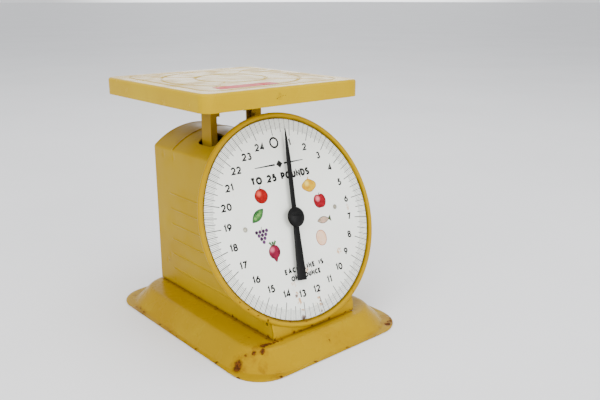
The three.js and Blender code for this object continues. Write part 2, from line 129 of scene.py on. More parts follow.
# Mesh making

def smooth(low, high, value):
    """0 below low, 1 above high and an even ease between them."""
    t = min(1.0, max(0.0, (value - low) / (high - low)))
    return t * t * (3 - 2 * t)


def bead(distance, half_width):
    """A round bump, 1 at no distance and 0 from half_width on."""
    t = abs(distance) / half_width
    return 0.5 + 0.5 * math.cos(math.pi * t) if t < 1 else 0.0


def mesh_object(name, vertices, faces):
    """An object in millimetres with its faces turned outward."""
    mesh = bpy.data.meshes.new(name)
    mesh.from_pydata([tuple(v) for v in vertices], [], faces)
    work = bmesh.new()
    work.from_mesh(mesh)
    bmesh.ops.remove_doubles(work, verts=work.verts, dist=1e-4)
    bmesh.ops.recalc_face_normals(work, faces=work.faces)
    work.to_mesh(mesh)
    work.free()
    obj = bpy.data.objects.new(name, mesh)
    bpy.context.scene.collection.objects.link(obj)
    return obj


def apply_modifiers(obj):
    """Turns the object's modifiers into its mesh."""
    graph = bpy.context.evaluated_depsgraph_get()
    mesh = bpy.data.meshes.new_from_object(obj.evaluated_get(graph))
    obj.modifiers.clear()
    obj.data = mesh


def thicken(obj, thickness, offset=-1.0):
    """Gives an open sheet its thickness, on the inside unless offset says otherwise."""
    solid = obj.modifiers.new("thickness", "SOLIDIFY")
    solid.thickness = thickness
    solid.offset = offset
    solid.use_even_offset = True
    apply_modifiers(obj)


def soften(obj, width, segments=2, angle=40):
    """Rounds the object's hard edges."""
    rounding = obj.modifiers.new("edges", "BEVEL")
    rounding.width = width
    rounding.segments = segments
    rounding.limit_method = "ANGLE"
    rounding.angle_limit = math.radians(angle)
    apply_modifiers(obj)


def combine(obj, tool, operation):
    """Adds the tool to the object or cuts it out, and drops the tool."""
    step = obj.modifiers.new(operation, "BOOLEAN")
    step.operation = operation
    step.solver = "EXACT"
    step.object = tool
    apply_modifiers(obj)
    bpy.data.objects.remove(tool)


def make(obj, material, body, node=None, place=None, sharp=35):
    """Puts a finished mesh in its place, in metres, and hands it to its body, if it rides on just one."""
    to_metres = Matrix.Scale(MM, 4)
    obj.data.transform(to_metres @ place if place else to_metres)
    work = bmesh.new()
    work.from_mesh(obj.data)
    limit = math.radians(sharp)
    for face in work.faces:
        face.smooth = True
    for edge in work.edges:
        edge.smooth = edge.calc_face_angle(0.0) < limit
    work.to_mesh(obj.data)
    work.free()
    obj.data.materials.clear()
    obj.data.materials.append(material)
    if body:
        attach(obj, body)
    if node:
        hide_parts(node)
    return obj


def grid_faces(rows, columns, around=False):
    """The faces between rows of points, closed round each row if around is set."""
    faces = []
    for row in range(rows - 1):
        for column in range(columns if around else columns - 1):
            after = (column + 1) % columns
            a = row * columns
            b = a + columns
            faces.append((a + column, a + after, b + after, b + column))
    return faces


def sheet_object(name, rows, around=False, cap=False):
    """A sheet through rows of points, with a face over the first row if cap is set."""
    columns = len(rows[0])
    faces = grid_faces(len(rows), columns, around)
    if cap:
        faces.append(tuple(reversed(range(columns))))
    return mesh_object(name, [point for row in rows for point in row], faces)


def block(x0, x1, y0, y1, z0, z1):
    corners = [(x, y, z) for x in (x0, x1) for y in (y0, y1) for z in (z0, z1)]
    faces = [(0, 1, 3, 2), (4, 6, 7, 5), (0, 4, 5, 1), (2, 3, 7, 6), (0, 2, 6, 4), (1, 5, 7, 3)]
    return mesh_object("block", corners, faces)


def prism(outline, low, high, name="prism"):
    """An upright prism over a closed outline."""
    count = len(outline)
    vertices = [(x, y, low) for x, y in outline] + [(x, y, high) for x, y in outline]
    faces = [tuple(reversed(range(count))), tuple(range(count, 2 * count))]
    faces += [(i, (i + 1) % count, count + (i + 1) % count, count + i) for i in range(count)]
    return mesh_object(name, vertices, faces)


def lathe(name, profile, segments, closed=True):
    """A piece turned about Z. The profile is a list of (radius, z)."""
    vertices = []
    for radius, z in profile:
        for i in range(segments):
            angle = 2 * math.pi * i / segments
            vertices.append((radius * math.cos(angle), radius * math.sin(angle), z))
    faces = grid_faces(len(profile), segments, around=True)
    if closed:
        last = (len(profile) - 1) * segments
        for i in range(segments):
            after = (i + 1) % segments
            faces.append((last + i, last + after, after, i))
    return mesh_object(name, vertices, [face for face in faces if len(set(face)) > 2])


def arc(centre_x, centre_y, radius_x, radius_y, start, end, steps=12):
    """Points of an arc, its ends in degrees."""
    points = []
    for i in range(steps + 1):
        angle = math.radians(start + (end - start) * i / steps)
        points.append((centre_x + radius_x * math.cos(angle), centre_y + radius_y * math.sin(angle)))
    return points


def circle(x, y, radius, steps=24):
    return arc(x, y, radius, radius, 0, 360 - 360 / steps, steps - 1)


def rounded_ring(half_x, half_y, corner, z, per_corner, per_side):
    """Points round a rectangle with round corners, the same number at any size."""
    signs = ((1, 1), (-1, 1), (-1, -1), (1, -1))
    corners = []
    for quarter, (sign_x, sign_y) in enumerate(signs):
        centre_x = sign_x * (half_x - corner)
        centre_y = sign_y * (half_y - corner)
        corners.append(arc(centre_x, centre_y, corner, corner, 90 * quarter, 90 * quarter + 90, per_corner))
    points = []
    for quarter, turn in enumerate(corners):
        points += turn
        start = turn[-1]
        end = corners[(quarter + 1) % 4][0]
        for i in range(1, per_side):
            share = i / per_side
            points.append((start[0] + (end[0] - start[0]) * share, start[1] + (end[1] - start[1]) * share))
    return [(x, y, z) for x, y in points]


def tube(name, path, radius, sides=12):
    """A round wire along a path of points, with flat ends."""
    points = [Vector(point) for point in path]
    vertices = []
    side = Vector((0, 0, 1))
    for i, point in enumerate(points):
        along = (points[min(i + 1, len(points) - 1)] - points[max(i - 1, 0)]).normalized()
        side = (side - along * side.dot(along)).normalized()
        other = along.cross(side)
        for k in range(sides):
            angle = 2 * math.pi * k / sides
            vertices.append(point + side * radius * math.cos(angle) + other * radius * math.sin(angle))
    faces = grid_faces(len(points), sides, around=True)
    last = (len(points) - 1) * sides
    faces += [tuple(reversed(range(sides))), tuple(range(last, last + sides))]
    return mesh_object(name, vertices, faces)


# Materials

class Finish:
    """A material and short ways to add nodes to it. Distances are in metres."""

    def __init__(self, name):
        self.material = bpy.data.materials.new(name)
        self.material.use_nodes = True
        self.nodes = self.material.node_tree.nodes
        self.links = self.material.node_tree.links
        self.shader = self.nodes["Principled BSDF"]
        self.coords = self.nodes.new("ShaderNodeTexCoord").outputs["Object"]
        self.axes = None

    def vector_math(self, operation, first, second):
        node = self.nodes.new("ShaderNodeVectorMath")
        node.operation = operation
        self.feed(node.inputs[0], first)
        node.inputs[1].default_value = second
        return node

    def feed(self, socket, value):
        if isinstance(value, bpy.types.NodeSocket):
            self.links.new(value, socket)
        elif isinstance(value, tuple) and len(value) == 3 and len(socket.default_value) == 4:
            socket.default_value = (*value, 1.0)
        else:
            socket.default_value = value

    def math(self, operation, first, second=0.0):
        node = self.nodes.new("ShaderNodeMath")
        node.operation = operation
        self.feed(node.inputs[0], first)
        self.feed(node.inputs[1], second)
        return node.outputs[0]

    def times(self, first, second):
        return self.math("MULTIPLY", first, second)

    def most(self, first, second):
        return self.math("MAXIMUM", first, second)

    def axis(self, index):
        if self.axes is None:
            node = self.nodes.new("ShaderNodeSeparateXYZ")
            self.feed(node.inputs[0], self.coords)
            self.axes = node.outputs
        return self.axes[index]

    def stretched(self, scale):
        node = self.nodes.new("ShaderNodeMapping")
        self.feed(node.inputs["Vector"], self.coords)
        node.inputs["Scale"].default_value = scale
        return node.outputs[0]

    def noise(self, scale, detail=4.0, rough=0.55, vector=None, colour=False):
        node = self.nodes.new("ShaderNodeTexNoise")
        self.feed(node.inputs["Vector"], vector or self.coords)
        node.inputs["Scale"].default_value = scale
        node.inputs["Detail"].default_value = detail
        node.inputs["Roughness"].default_value = rough
        return node.outputs["Color" if colour else "Fac"]

    def ramp(self, value, low, high, start=0.0, end=1.0):
        node = self.nodes.new("ShaderNodeMapRange")
        node.interpolation_type = "SMOOTHSTEP"
        self.feed(node.inputs[0], value)
        node.inputs[1].default_value = low
        node.inputs[2].default_value = high
        node.inputs[3].default_value = start
        node.inputs[4].default_value = end
        return node.outputs[0]

    def mix(self, factor, first, second):
        node = self.nodes.new("ShaderNodeMix")
        node.data_type = "RGBA"
        self.feed(node.inputs[0], factor)
        self.feed(node.inputs[6], first)
        self.feed(node.inputs[7], second)
        return node.outputs[2]

    def wobbled(self, scale, amount):
        """The coordinates pushed about by noise, for ragged outlines."""
        centred = self.vector_math("SUBTRACT", self.noise(scale, 5.0, 0.65, colour=True), (0.5, 0.5, 0.5))
        moved = self.vector_math("MULTIPLY_ADD", centred.outputs[0], (amount, amount, amount))
        self.feed(moved.inputs[2], self.coords)
        return moved.outputs[0]

    def near(self, vector, spots):
        """1 inside any of the spots, each (x, y, z, radius) in metres."""
        total = 0.0
        for x, y, z, radius in spots:
            node = self.vector_math("DISTANCE", vector, (x, y, z))
            total = self.most(total, self.ramp(node.outputs["Value"], radius, radius * 0.55))
        return total

    def bump(self, height, distance, strength=1.0):
        node = self.nodes.new("ShaderNodeBump")
        node.inputs["Strength"].default_value = strength
        node.inputs["Distance"].default_value = distance
        self.feed(node.inputs["Height"], height)
        self.feed(self.shader.inputs["Normal"], node.outputs[0])

    def out(self, **values):
        for name, value in values.items():
            self.feed(self.shader.inputs[name.replace("_", " ")], value)
        return self.material


def at(x, y, z, radius):
    return (x * MM, y * MM, z * MM, radius * MM)


def on_dial(u, v, radius, w=0.0):
    point = DIAL_FRAME @ Vector((u, v, w))
    return at(*point, radius)


def marks_along(start, end, count, first, last, place=at):
    """Marks spaced along a straight stretch, with radii from first to last."""
    marks = []
    for k in range(count):
        t = k / (count - 1)
        spot = Vector(start).lerp(Vector(end), t)
        marks.append(place(*spot, first + (last - first) * t))
    return marks


def marks_round(seed, centre, spread, count, radius):
    """Marks of mixed sizes strewn about a place, the same ones each time."""
    rng = random.Random(seed)
    marks = []
    for _ in range(count):
        spot = [middle + rng.uniform(-reach, reach) for middle, reach in zip(centre, spread)]
        marks.append(at(*spot, radius * rng.uniform(0.5, 1.0)))
    return marks


def rim_marks(first_angle, last_angle, count, first, last):
    """Marks along the crown of the dial's rim, in degrees anticlockwise from its right side."""
    marks = []
    for k in range(count):
        t = k / (count - 1)
        angle = math.radians(first_angle + (last_angle - first_angle) * t)
        radius = first + (last - first) * t
        marks.append(on_dial(RIM_CROWN * math.cos(angle), RIM_CROWN * math.sin(angle), radius, RIM_CROWN_W))
    return marks


def enamel(name, colour=YELLOW, rust=(), stains=(), wear=None, seam_shade=None,
           freckles=1.0, gloss=0.34, peel=0.55, shine=0.13):
    """Old glossy stove enamel. wear is a function giving a 0 to 1 place where the paint chips."""
    f = Finish(name)
    deep = tuple(c * k for c, k in zip(colour, (0.84, 0.74, 0.6)))
    clouds = f.ramp(f.noise(11.0, 3.0), 0.36, 0.68)
    tone = f.mix(f.times(clouds, 0.55), colour, deep)
    fading = f.ramp(f.noise(31.0, 5.0, 0.6), 0.52, 0.78, 0.0, 0.30)
    tone = f.mix(fading, tone, YELLOW_PALE)
    drawn = f.noise(26.0, 6.0, 0.62, vector=f.stretched((1.0, 1.0, 0.28)))
    tone = f.mix(f.ramp(drawn, 0.56, 0.80, 0.0, 0.28), tone, YELLOW_DEEP)
    speck = f.ramp(f.noise(640.0, 2.0, 0.5), 0.70, 0.76)
    patches = f.ramp(f.noise(38.0, 3.0), 0.50, 0.66)
    speck = f.times(f.times(speck, patches), 0.75 * freckles)
    tone = f.mix(speck, tone, STAIN)
    scuffs = f.ramp(f.noise(90.0, 3.0, 0.7, vector=f.stretched((1.0, 0.5, 9.0))), 0.68, 0.74, 0.0, 0.16)
    tone = f.mix(scuffs, tone, YELLOW_PALE)
    ragged = f.wobbled(240.0, 0.0052)
    loose = f.wobbled(110.0, 0.016)
    if stains:
        broken = f.ramp(f.noise(75.0, 6.0, 0.7), 0.42, 0.66, 0.0, 0.55)
        tone = f.mix(f.times(f.near(loose, stains), broken), tone, STAIN)
    bare = f.near(ragged, rust) if rust else 0.0
    if rust:
        halo = f.near(loose, [(x, y, z, r * 1.7) for x, y, z, r in rust])
        tone = f.mix(f.times(halo, 0.32), tone, STAIN)
    if wear:
        chips = f.times(wear(f), f.ramp(f.noise(210.0, 6.0, 0.7), 0.56, 0.62))
        bare = f.most(bare, chips)
        tone = f.mix(f.times(wear(f), 0.50), tone, STAIN)
    # Painted shade: darkens the paint where the mask says, standing in for the shadow in a seam
    if seam_shade:
        tone = f.mix(f.times(seam_shade(f), f.ramp(f.noise(60.0, 5.0), 0.30, 0.55, 0.45, 0.9)), tone, SEAM_SHADE)
    corrosion = f.mix(f.ramp(f.noise(700.0, 4.0), 0.40, 0.62), RUST, RUST_LIGHT)
    tone = f.mix(bare, tone, corrosion) if (rust or wear) else tone
    dull = f.ramp(f.noise(45.0, 5.0), 0.35, 0.75, gloss - 0.06, gloss + 0.16)
    if rust or wear:
        dull = f.most(dull, f.times(bare, 0.86))
    height = f.times(f.noise(330.0, 3.0, 0.5), 0.35)
    if rust or wear:
        pits = f.times(bare, f.noise(1500.0, 3.0, 0.6))
        height = f.math("SUBTRACT", f.math("ADD", height, pits), f.times(bare, 1.2))
    f.bump(height, 0.00016, peel)
    return f.out(Base_Color=tone, Roughness=dull, Specular_IOR_Level=shine, Specular_Tint=GLOSS_TINT)


def metal(name, colour, dark, rough, grain=(1.0, 1.0, 1.0), tarnish=0.5):
    """Bare metal with rolled or turned grain and some tarnish."""
    f = Finish(name)
    lines = f.noise(520.0, 4.0, 0.6, vector=f.stretched(grain))
    clouds = f.ramp(f.noise(70.0, 5.0, 0.6), 0.40, 0.70, 0.0, tarnish)
    tone = f.mix(clouds, colour, dark)
    tone = f.mix(f.ramp(lines, 0.35, 0.7, 0.0, 0.25), tone, dark)
    dull = f.ramp(lines, 0.3, 0.75, rough - 0.08, rough + 0.14)
    f.bump(lines, 0.00005, 0.4)
    return f.out(Base_Color=tone, Roughness=dull, Metallic=0.92)


def satin_black(name):
    f = Finish(name)
    worn = f.ramp(f.noise(160.0, 5.0, 0.65), 0.55, 0.74, 0.0, 0.35)
    tone = f.mix(worn, BLACK, (0.016, 0.015, 0.013))
    dust = f.ramp(f.noise(1100.0, 2.0), 0.64, 0.72, 0.0, 0.16)
    tone = f.mix(dust, tone, (0.10, 0.09, 0.07))
    dull = f.ramp(f.noise(300.0, 4.0), 0.35, 0.7, 0.34, 0.52)
    f.bump(f.noise(900.0, 3.0), 0.00005, 0.5)
    return f.out(Base_Color=tone, Roughness=dull, Specular_IOR_Level=0.09)


def dial_paint(name):
    """Off-white dial enamel, yellowed in places, with rust creeping up from its lower edge."""
    f = Finish(name)
    white = (0.81, 0.83, 0.77)
    tone = f.mix(f.ramp(f.noise(14.0, 3.0), 0.38, 0.66, 0.0, 0.6), white, (0.76, 0.765, 0.70))
    foxing = f.ramp(f.noise(150.0, 5.0, 0.6), 0.62, 0.76, 0.0, 0.22)
    tone = f.mix(foxing, tone, (0.55, 0.48, 0.30))
    streaks = marks_along((-14, -50), (-11, -72), 4, 2.4, 2.2, on_dial)
    streaks += marks_along((8, -60), (7, -73), 3, 2.2, 2.6, on_dial)
    streaks += [on_dial(2, -42, 2.2), on_dial(40, -37, 3), on_dial(61, -3, 2.4)]
    runs = f.near(f.wobbled(170.0, 0.009), streaks)
    run_break = f.ramp(f.noise(330.0, 3.0), 0.42, 0.58, 0.0, 0.85)
    tone = f.mix(f.times(runs, run_break), tone, (0.52, 0.24, 0.055))
    pits = marks_along((-14, -60), (-12, -78), 2, 1.7, 2.9, on_dial)
    pits += marks_along((9, -62), (7, -78), 3, 1.1, 1.3, on_dial)
    spots = f.near(f.wobbled(420.0, 0.003), pits + [on_dial(3, -43, 0.5)])
    tone = f.mix(f.times(spots, 0.85), tone, RUST_LIGHT)
    core = f.near(f.wobbled(420.0, 0.003), [on_dial(-12, -79, 2.1), on_dial(-14, -60, 0.8)])
    tone = f.mix(core, tone, RUST)
    dull = f.ramp(f.noise(60.0, 4.0), 0.3, 0.7, 0.30, 0.42)
    f.bump(f.noise(420.0, 3.0), 0.00006, 0.4)
    return f.out(Base_Color=tone, Roughness=dull)


def ink(name, colour, shade, scale=260.0, light=None, glow=None, rough=0.42):
    """Printed colour, uneven like an old transfer, lighter round the glow point if there is one."""
    f = Finish(name)
    tone = f.mix(f.ramp(f.noise(scale, 4.0, 0.6), 0.38, 0.64), colour, shade)
    if light:
        point = f.vector_math("DISTANCE", f.wobbled(300.0, 0.0012), glow[:3])
        tone = f.mix(f.ramp(point.outputs["Value"], glow[3], glow[3] * 0.15), tone, light)
    worn = f.ramp(f.noise(1900.0, 2.0), 0.66, 0.74, 0.0, 0.16)
    tone = f.mix(worn, tone, (0.62, 0.62, 0.57))
    return f.out(Base_Color=tone, Roughness=rough, Specular_IOR_Level=0.08)


def studio_floor(name):
    f = Finish(name)
    tone = f.mix(f.ramp(f.noise(2.2, 3.0), 0.35, 0.7), (0.80, 0.80, 0.815), (0.77, 0.77, 0.785))
    dull = f.ramp(f.noise(14.0, 3.0), 0.3, 0.7, 0.50, 0.62)
    return f.out(Base_Color=tone, Roughness=dull)


# Places where the paint wears through

def base_edge_wear(f):
    """The flange's edge, and the line where the housing stands on the base."""
    flange = f.ramp(f.axis(2), 0.0036, 0.0010)
    side = f.math("SUBTRACT", f.math("ABSOLUTE", f.axis(0)), WALL_X * MM)
    ahead = f.math("SUBTRACT", f.times(f.axis(1), -1.0), -FRONT_Y * MM)
    from_wall = f.math("ABSOLUTE", f.most(side, ahead))
    joint = f.times(f.ramp(from_wall, 0.0030, 0.0008), f.ramp(f.axis(2), 0.0145, 0.0149))
    return f.most(f.times(flange, f.ramp(f.noise(28.0, 3.0), 0.50, 0.66)), joint)


def dial_reach(f):
    """The distance from the dial's axis."""
    mapping = f.nodes.new("ShaderNodeMapping")
    mapping.vector_type = "TEXTURE"
    f.feed(mapping.inputs["Vector"], f.coords)
    mapping.inputs["Location"].default_value = [value * MM for value in DIAL_AT]
    mapping.inputs["Rotation"].default_value = (math.pi / 2 - DIAL_LEAN, 0.0, 0.0)
    parts = f.nodes.new("ShaderNodeSeparateXYZ")
    f.feed(parts.inputs[0], mapping.outputs[0])
    squares = [f.times(parts.outputs[i], parts.outputs[i]) for i in range(2)]
    return f.math("SQRT", f.math("ADD", *squares))


def rim_wear(f):
    """The rolled rim's lower left part and the apron's foot."""
    foot = f.ramp(f.axis(2), 0.0180, 0.0156)
    low = f.times(f.ramp(f.axis(2), 0.075, 0.035), f.ramp(f.axis(0), 0.012, -0.012))
    reach = dial_reach(f)
    seam = f.times(f.ramp(reach, 0.0798, 0.0804), f.ramp(reach, 0.0830, 0.0816))
    return f.most(f.times(seam, low), foot)


def rim_grime(f):
    """Painted shade where the rolled rim meets the dial, standing in for the shadow in that seam."""
    reach = dial_reach(f)
    return f.times(f.ramp(reach, 0.0790, 0.0800), f.ramp(reach, 0.0822, 0.0807))


def wall_wear(f):
    """The foot of the walls and the roof's bead."""
    foot = f.ramp(f.axis(2), 0.0186, 0.0158)
    seam = f.ramp(f.math("ABSOLUTE", f.math("SUBTRACT", f.axis(1), ROOF_BEAD_Y * MM)), 0.0022, 0.0008)
    roof = f.ramp(f.axis(2), 0.1405, 0.1425)
    return f.most(f.times(f.times(seam, roof), 0.6), foot)


# Camera, floor and lights

def set_camera():
    camera = bpy.data.objects.new("camera", bpy.data.cameras.new("camera"))
    camera.location = CAMERA_AT
    camera.rotation_euler = Vector(CAMERA_LOOK).to_track_quat("-Z", "Y").to_euler()
    camera.data.lens = CAMERA_LENS
    camera.data.sensor_width = SENSOR
    camera.data.clip_end = 200.0
    bpy.context.scene.collection.objects.link(camera)
    bpy.context.scene.camera = camera


def softbox(name, place, target, size, power, colour=(1.0, 1.0, 1.0)):
    light = bpy.data.lights.new(name, "AREA")
    light.shape = "RECTANGLE"
    light.size, light.size_y = size
    light.energy = power
    light.color = colour
    box = bpy.data.objects.new(name, light)
    box.location = place
    box.rotation_euler = (Vector(target) - Vector(place)).to_track_quat("-Z", "Y").to_euler()
    bpy.context.scene.collection.objects.link(box)


def set_stage():
    reach = 60000.0
    corners = [(x * reach, y * reach, 0) for x, y in ((-1, -1), (1, -1), (1, 1), (-1, 1))]
    floor = mesh_object("floor", corners, [(0, 1, 2, 3)])
    floor.data.transform(Matrix.Scale(MM, 4))
    floor.data.materials.append(studio_floor("pale_floor"))
    set_world()
    centre = (0.0, 0.0, 0.10)
    softbox("window_left", (-1.6, -0.5, 1.3), centre, (1.4, 1.4), 36.0, (1.0, 0.99, 0.97))
    softbox("front_fill", (0.2, -1.9, 0.8), centre, (1.6, 1.2), 40.0)
    softbox("overhead", (0.1, 0.1, 2.3), centre, (1.8, 1.8), 34.0)


def set_world():
    """An even pale room, much brighter low down behind the object, where it shines on flat tops."""
    world = bpy.data.worlds.new("studio")
    world.use_nodes = True
    nodes, links = world.node_tree.nodes, world.node_tree.links
    background = nodes["Background"]
    direction = nodes.new("ShaderNodeTexCoord").outputs["Generated"]
    facing = nodes.new("ShaderNodeVectorMath")
    facing.operation = "DOT_PRODUCT"
    facing.inputs[1].default_value = Vector(GLOW_TOWARD).normalized()
    links.new(direction, facing.inputs[0])
    glow = nodes.new("ShaderNodeMapRange")
    glow.interpolation_type = "SMOOTHSTEP"
    links.new(facing.outputs["Value"], glow.inputs[0])
    for index, value in enumerate((*GLOW_EDGES, ROOM_LIGHT, BACK_LIGHT), start=1):
        glow.inputs[index].default_value = value
    background.inputs["Color"].default_value = (0.96, 0.975, 1.0, 1.0)
    links.new(glow.outputs[0], background.inputs["Strength"])
    bpy.context.scene.world = world


# Sheet-metal pieces

def base_paint():
    """The base rusts most at its front left corner and where the housing meets it."""
    rust = marks_round(11, (-74, -77, 3), (3, 3, 2), 5, 5.4)
    rust += marks_along((-66, -76, 10), (-56, -84, 13), 3, 1.4, 2.8)
    rust += marks_along((-53, -80, 15), (-37, -82, 15), 6, 3.2, 1.1)
    rust += marks_round(12, (70, -97, 1), (5, 6, 0), 4, 2.6)
    rust += marks_round(13, (2, -96, 8), (3, 1, 1), 3, 0.9)
    rust += marks_along((-80, 56, 1), (-80, -86, 1), 6, 1.0, 1.8)
    rust += marks_along((-56, -105, 1), (12, -105, 1), 3, 2.2, 1.5)
    rust += marks_along((-66, 94, 3), (60, 94, 8), 3, 2.0, 1.8)
    rust += [at(-45, 19, 15, 0.6), at(-53, -62, 15, 1.0), at(78, 40, 2, 1.8)]
    stains = marks_along((-74, -76, 3), (-47, -82, 15), 4, 9, 5)
    stains += marks_along((-62, -92, 6), (70, -97, 4), 3, 6, 8)
    stains.append(at(60, 92, 9, 7))
    return enamel("base_enamel", rust=rust, stains=stains, wear=base_edge_wear,
                   colour=(0.315, 0.192, 0.0), gloss=0.26, shine=0.20)


def base_stamping():
    """Flat top, round shoulder, sloping skirt and a flange that widens into ears at the corners."""
    half_x, half_y = 81.0, 106.0
    flange, run, form_corner, ear_corner = 3.0, 14.0, 40.0, 28.0
    top, foot = 15.0, SHEET
    shoulder, hollow = 6.5, 2.6
    slope = math.atan2(top - foot, run)
    profile = []
    ridge_inset = flange + run
    shoulder_run = shoulder * math.tan(slope / 2)
    for i in range(9):
        angle = slope * i / 8
        inset = ridge_inset + shoulder_run - shoulder * math.sin(angle)
        profile.append((inset, top - shoulder * (1 - math.cos(angle))))
    hollow_run = hollow * math.tan(slope / 2)
    for i in range(7):
        angle = slope * (1 - i / 6)
        inset = flange - hollow_run + hollow * math.sin(angle)
        profile.append((inset, foot + hollow * (1 - math.cos(angle))))
    rings = []

    def add_ring(inset, corner, z):
        rings.append(rounded_ring(half_x - inset, half_y - inset, corner, z, 14, 36))

    for inset in (44.0, 36.0, 30.0, 25.0):
        add_ring(inset, max(form_corner + flange - inset, 4.0), top)
    for inset, z in profile:
        add_ring(inset, form_corner + flange - inset, z)
    flat_start = profile[-1][0]
    start_corner = form_corner + flange - flat_start
    for share in (0.35, 0.7, 0.9, 1.0):
        inset = flat_start * (1 - share)
        drop = 0.25 if share == 1.0 else 0.0
        corner = start_corner + (ear_corner - start_corner) * share
        add_ring(inset, corner, foot - drop)
    pan = sheet_object("base_stamping", rings, around=True, cap=True)
    dent(pan, [((-38, -98, 8), 5, 0.5), ((-58, -70, 15), 7, 0.4),
               ((44, -92, 12), 5, 0.35), ((-70, 40, 8), 6, 0.3)])
    thicken(pan, SHEET * 0.9)
    for vertex in pan.data.vertices:
        vertex.co.z = max(vertex.co.z, 0.0)
    for x in (-36.5, 36.5):
        for y in (-68, 76):
            hole = prism(circle(x, y, FOOT_SCREW_HOLE), 8, 20)
            combine(pan, hole, "DIFFERENCE")
    make(pan, base_paint(), "root", "base_pan")


def dent(obj, marks):
    """Presses shallow hollows into a sheet at ((x, y, z), radius, depth)."""
    normals = [vertex.normal.copy() for vertex in obj.data.vertices]
    for vertex, normal in zip(obj.data.vertices, normals):
        for centre, radius, depth in marks:
            away = (vertex.co - Vector(centre)).length
            vertex.co -= normal * depth * bead(away, radius)


def arch():
    """The roof arch's radius and the height of its centre."""
    rise = RIDGE_Z - EAVES_Z
    radius = (WALL_X ** 2 + rise ** 2) / (2 * rise)
    return radius, RIDGE_Z - radius


def housing_section():
    """Half of the wrap's outside section, from its foot flange to the ridge: (x, z, normal x, normal z)."""
    radius, centre_z = arch()
    foot_turn, eaves_turn = 1.5, 3.0
    points = [(x, FOOT_Z, 0.0, -1.0) for x in (31.0, 35.0, 39.0)]
    for i in range(7):
        angle = -math.pi / 2 + math.pi / 2 * i / 6
        turn_x, turn_z = math.cos(angle), math.sin(angle)
        x = WALL_X - foot_turn + foot_turn * turn_x
        points.append((x, FOOT_Z + foot_turn + foot_turn * turn_z, turn_x, turn_z))
    arch_tilt = math.pi / 2 - math.asin(WALL_X / radius)
    cut_back = eaves_turn * math.tan(arch_tilt / 2)
    heights = [FOOT_Z + foot_turn + 1.5 * i for i in range(1, 81)]
    for rib in range(RIB_COUNT):
        middle = RIB_FIRST_Z + RIB_PITCH * rib
        heights += [middle + step for step in (-1.1, -0.8, -0.5, -0.25, 0.0, 0.25, 0.5, 0.8, 1.1)]
    top = EAVES_Z - cut_back
    points += [(WALL_X, z, 1.0, 0.0) for z in sorted(set(heights)) if z < top - 0.4]
    for i in range(7):
        angle = arch_tilt * i / 6
        turn_x, turn_z = math.cos(angle), math.sin(angle)
        points.append((WALL_X - eaves_turn + eaves_turn * turn_x, top + eaves_turn * turn_z, turn_x, turn_z))
    edge = math.asin((WALL_X - eaves_turn + eaves_turn * math.cos(arch_tilt)) / radius)
    for i in range(1, 31):
        angle = edge * (1 - i / 30)
        turn_x, turn_z = math.sin(angle), math.cos(angle)
        points.append((radius * turn_x, centre_z + radius * turn_z, turn_x, turn_z))
    return points


def housing_front(z):
    """How far forward the wrap reaches at a height: up to the back of the leaning face sheet."""
    back = FACE_W - SHEET - GAP
    up = (z - DIAL_AT[2] - back * math.sin(DIAL_LEAN)) / math.cos(DIAL_LEAN)
    leaning = DIAL_AT[1] + up * math.sin(DIAL_LEAN) - back * math.cos(DIAL_LEAN)
    return max(leaning, FRONT_Y + SHEET + GAP)


def housing_columns(z):
    """Positions along the wrap at one height, even behind y = -20 and fanned out ahead of it."""
    rear = [REAR_Y] + [85.6 - 0.6 * i for i in range(5)]
    rear += [82.4 - 1.6 * i for i in range(11)] + [65.0 - i for i in range(6)]
    rear += [58.6, 57.4, 56.9, 56.4, ROOF_BEAD_Y, 55.6, 55.1, 54.6, 53.4, 51.0]
    rear += [48.0 - 4.0 * i for i in range(18)]
    start = rear[-1]
    front = housing_front(z)
    return rear + [start + (front - start) * i / 14 for i in range(1, 15)]


WALL_MARKS = ((71.0, 135.0), (55.0, 134.6), (73.0, 37.0), (67.0, 44.0), (60.6, 20.6))


def housing_lift(y, z, on_roof):
    """How far the wrap's surface stands off its plain section."""
    if on_roof:
        return 0.55 * bead(y - ROOF_BEAD_Y, 1.5) + 0.35 * bead(y - 84.6, 1.5)
    lift = 0.0
    for rib in range(RIB_COUNT):
        lift += 0.6 * bead(z - RIB_FIRST_Z - RIB_PITCH * rib, 1.0) * smooth(RIB_REAR_Y + 1, RIB_REAR_Y - 2, y)
    for mark_y, mark_z in WALL_MARKS:
        lift -= 0.55 * bead(math.hypot(y - mark_y, (z - mark_z) * 0.6), 2.1)
    return lift


def slot_outline(side):
    """The roof slot's outline, on the right for side 1 and the left for side -1."""
    x0, x1, y0, y1, corner = (SLOT[key] for key in ("x0", "x1", "y0", "y1", "corner"))
    half_x, half_y = (x1 - x0) / 2, (y1 - y0) / 2
    ring = rounded_ring(half_x, half_y, corner, 0.0, 10, 2)
    return [(side * (x0 + x1) / 2 + x, (y0 + y1) / 2 + y) for x, y, _ in ring]


def side_bore(radius, reach=60.0):
    y, z = SIDE_HOLE
    hole = prism(circle(y, z, radius), -reach, reach)
    hole.data.transform(Matrix(((0, 0, 1, 0), (1, 0, 0, 0), (0, 1, 0, 0), (0, 0, 0, 1))))
    return hole


def housing_paint():
    """The housing is stained round the roof slots and rusts a little at the foot of its walls."""
    rust = marks_along((-WALL_X, -74, 17), (-WALL_X, 20, 17), 3, 1.6, 1.1)
    rust += marks_round(21, (-WALL_X, 69, 34), (0, 5, 12), 3, 0.9)
    rust += marks_along((WALL_X, 30, 18), (WALL_X, -50, 17), 2, 1.8, 1.5)
    rust += marks_along((-22, 37, 152), (-14, 37, 154), 2, 1.3, 1.0)
    rust.append(at(-WALL_X, 52, 136, 0.5))
    stains = marks_along((-34, 57, 147), (12, 56, 156), 4, 5, 6)
    stains += marks_along((-WALL_X, 70, 40), (-WALL_X, 71, 135), 2, 5, 3)
    stains += [at(-24, 40, 152, 7), at(-30, 8, 149, 6), at(WALL_X, 34, 18, 8)]
    return enamel("housing_enamel", rust=rust, stains=stains, wear=wall_wear, freckles=0.8)


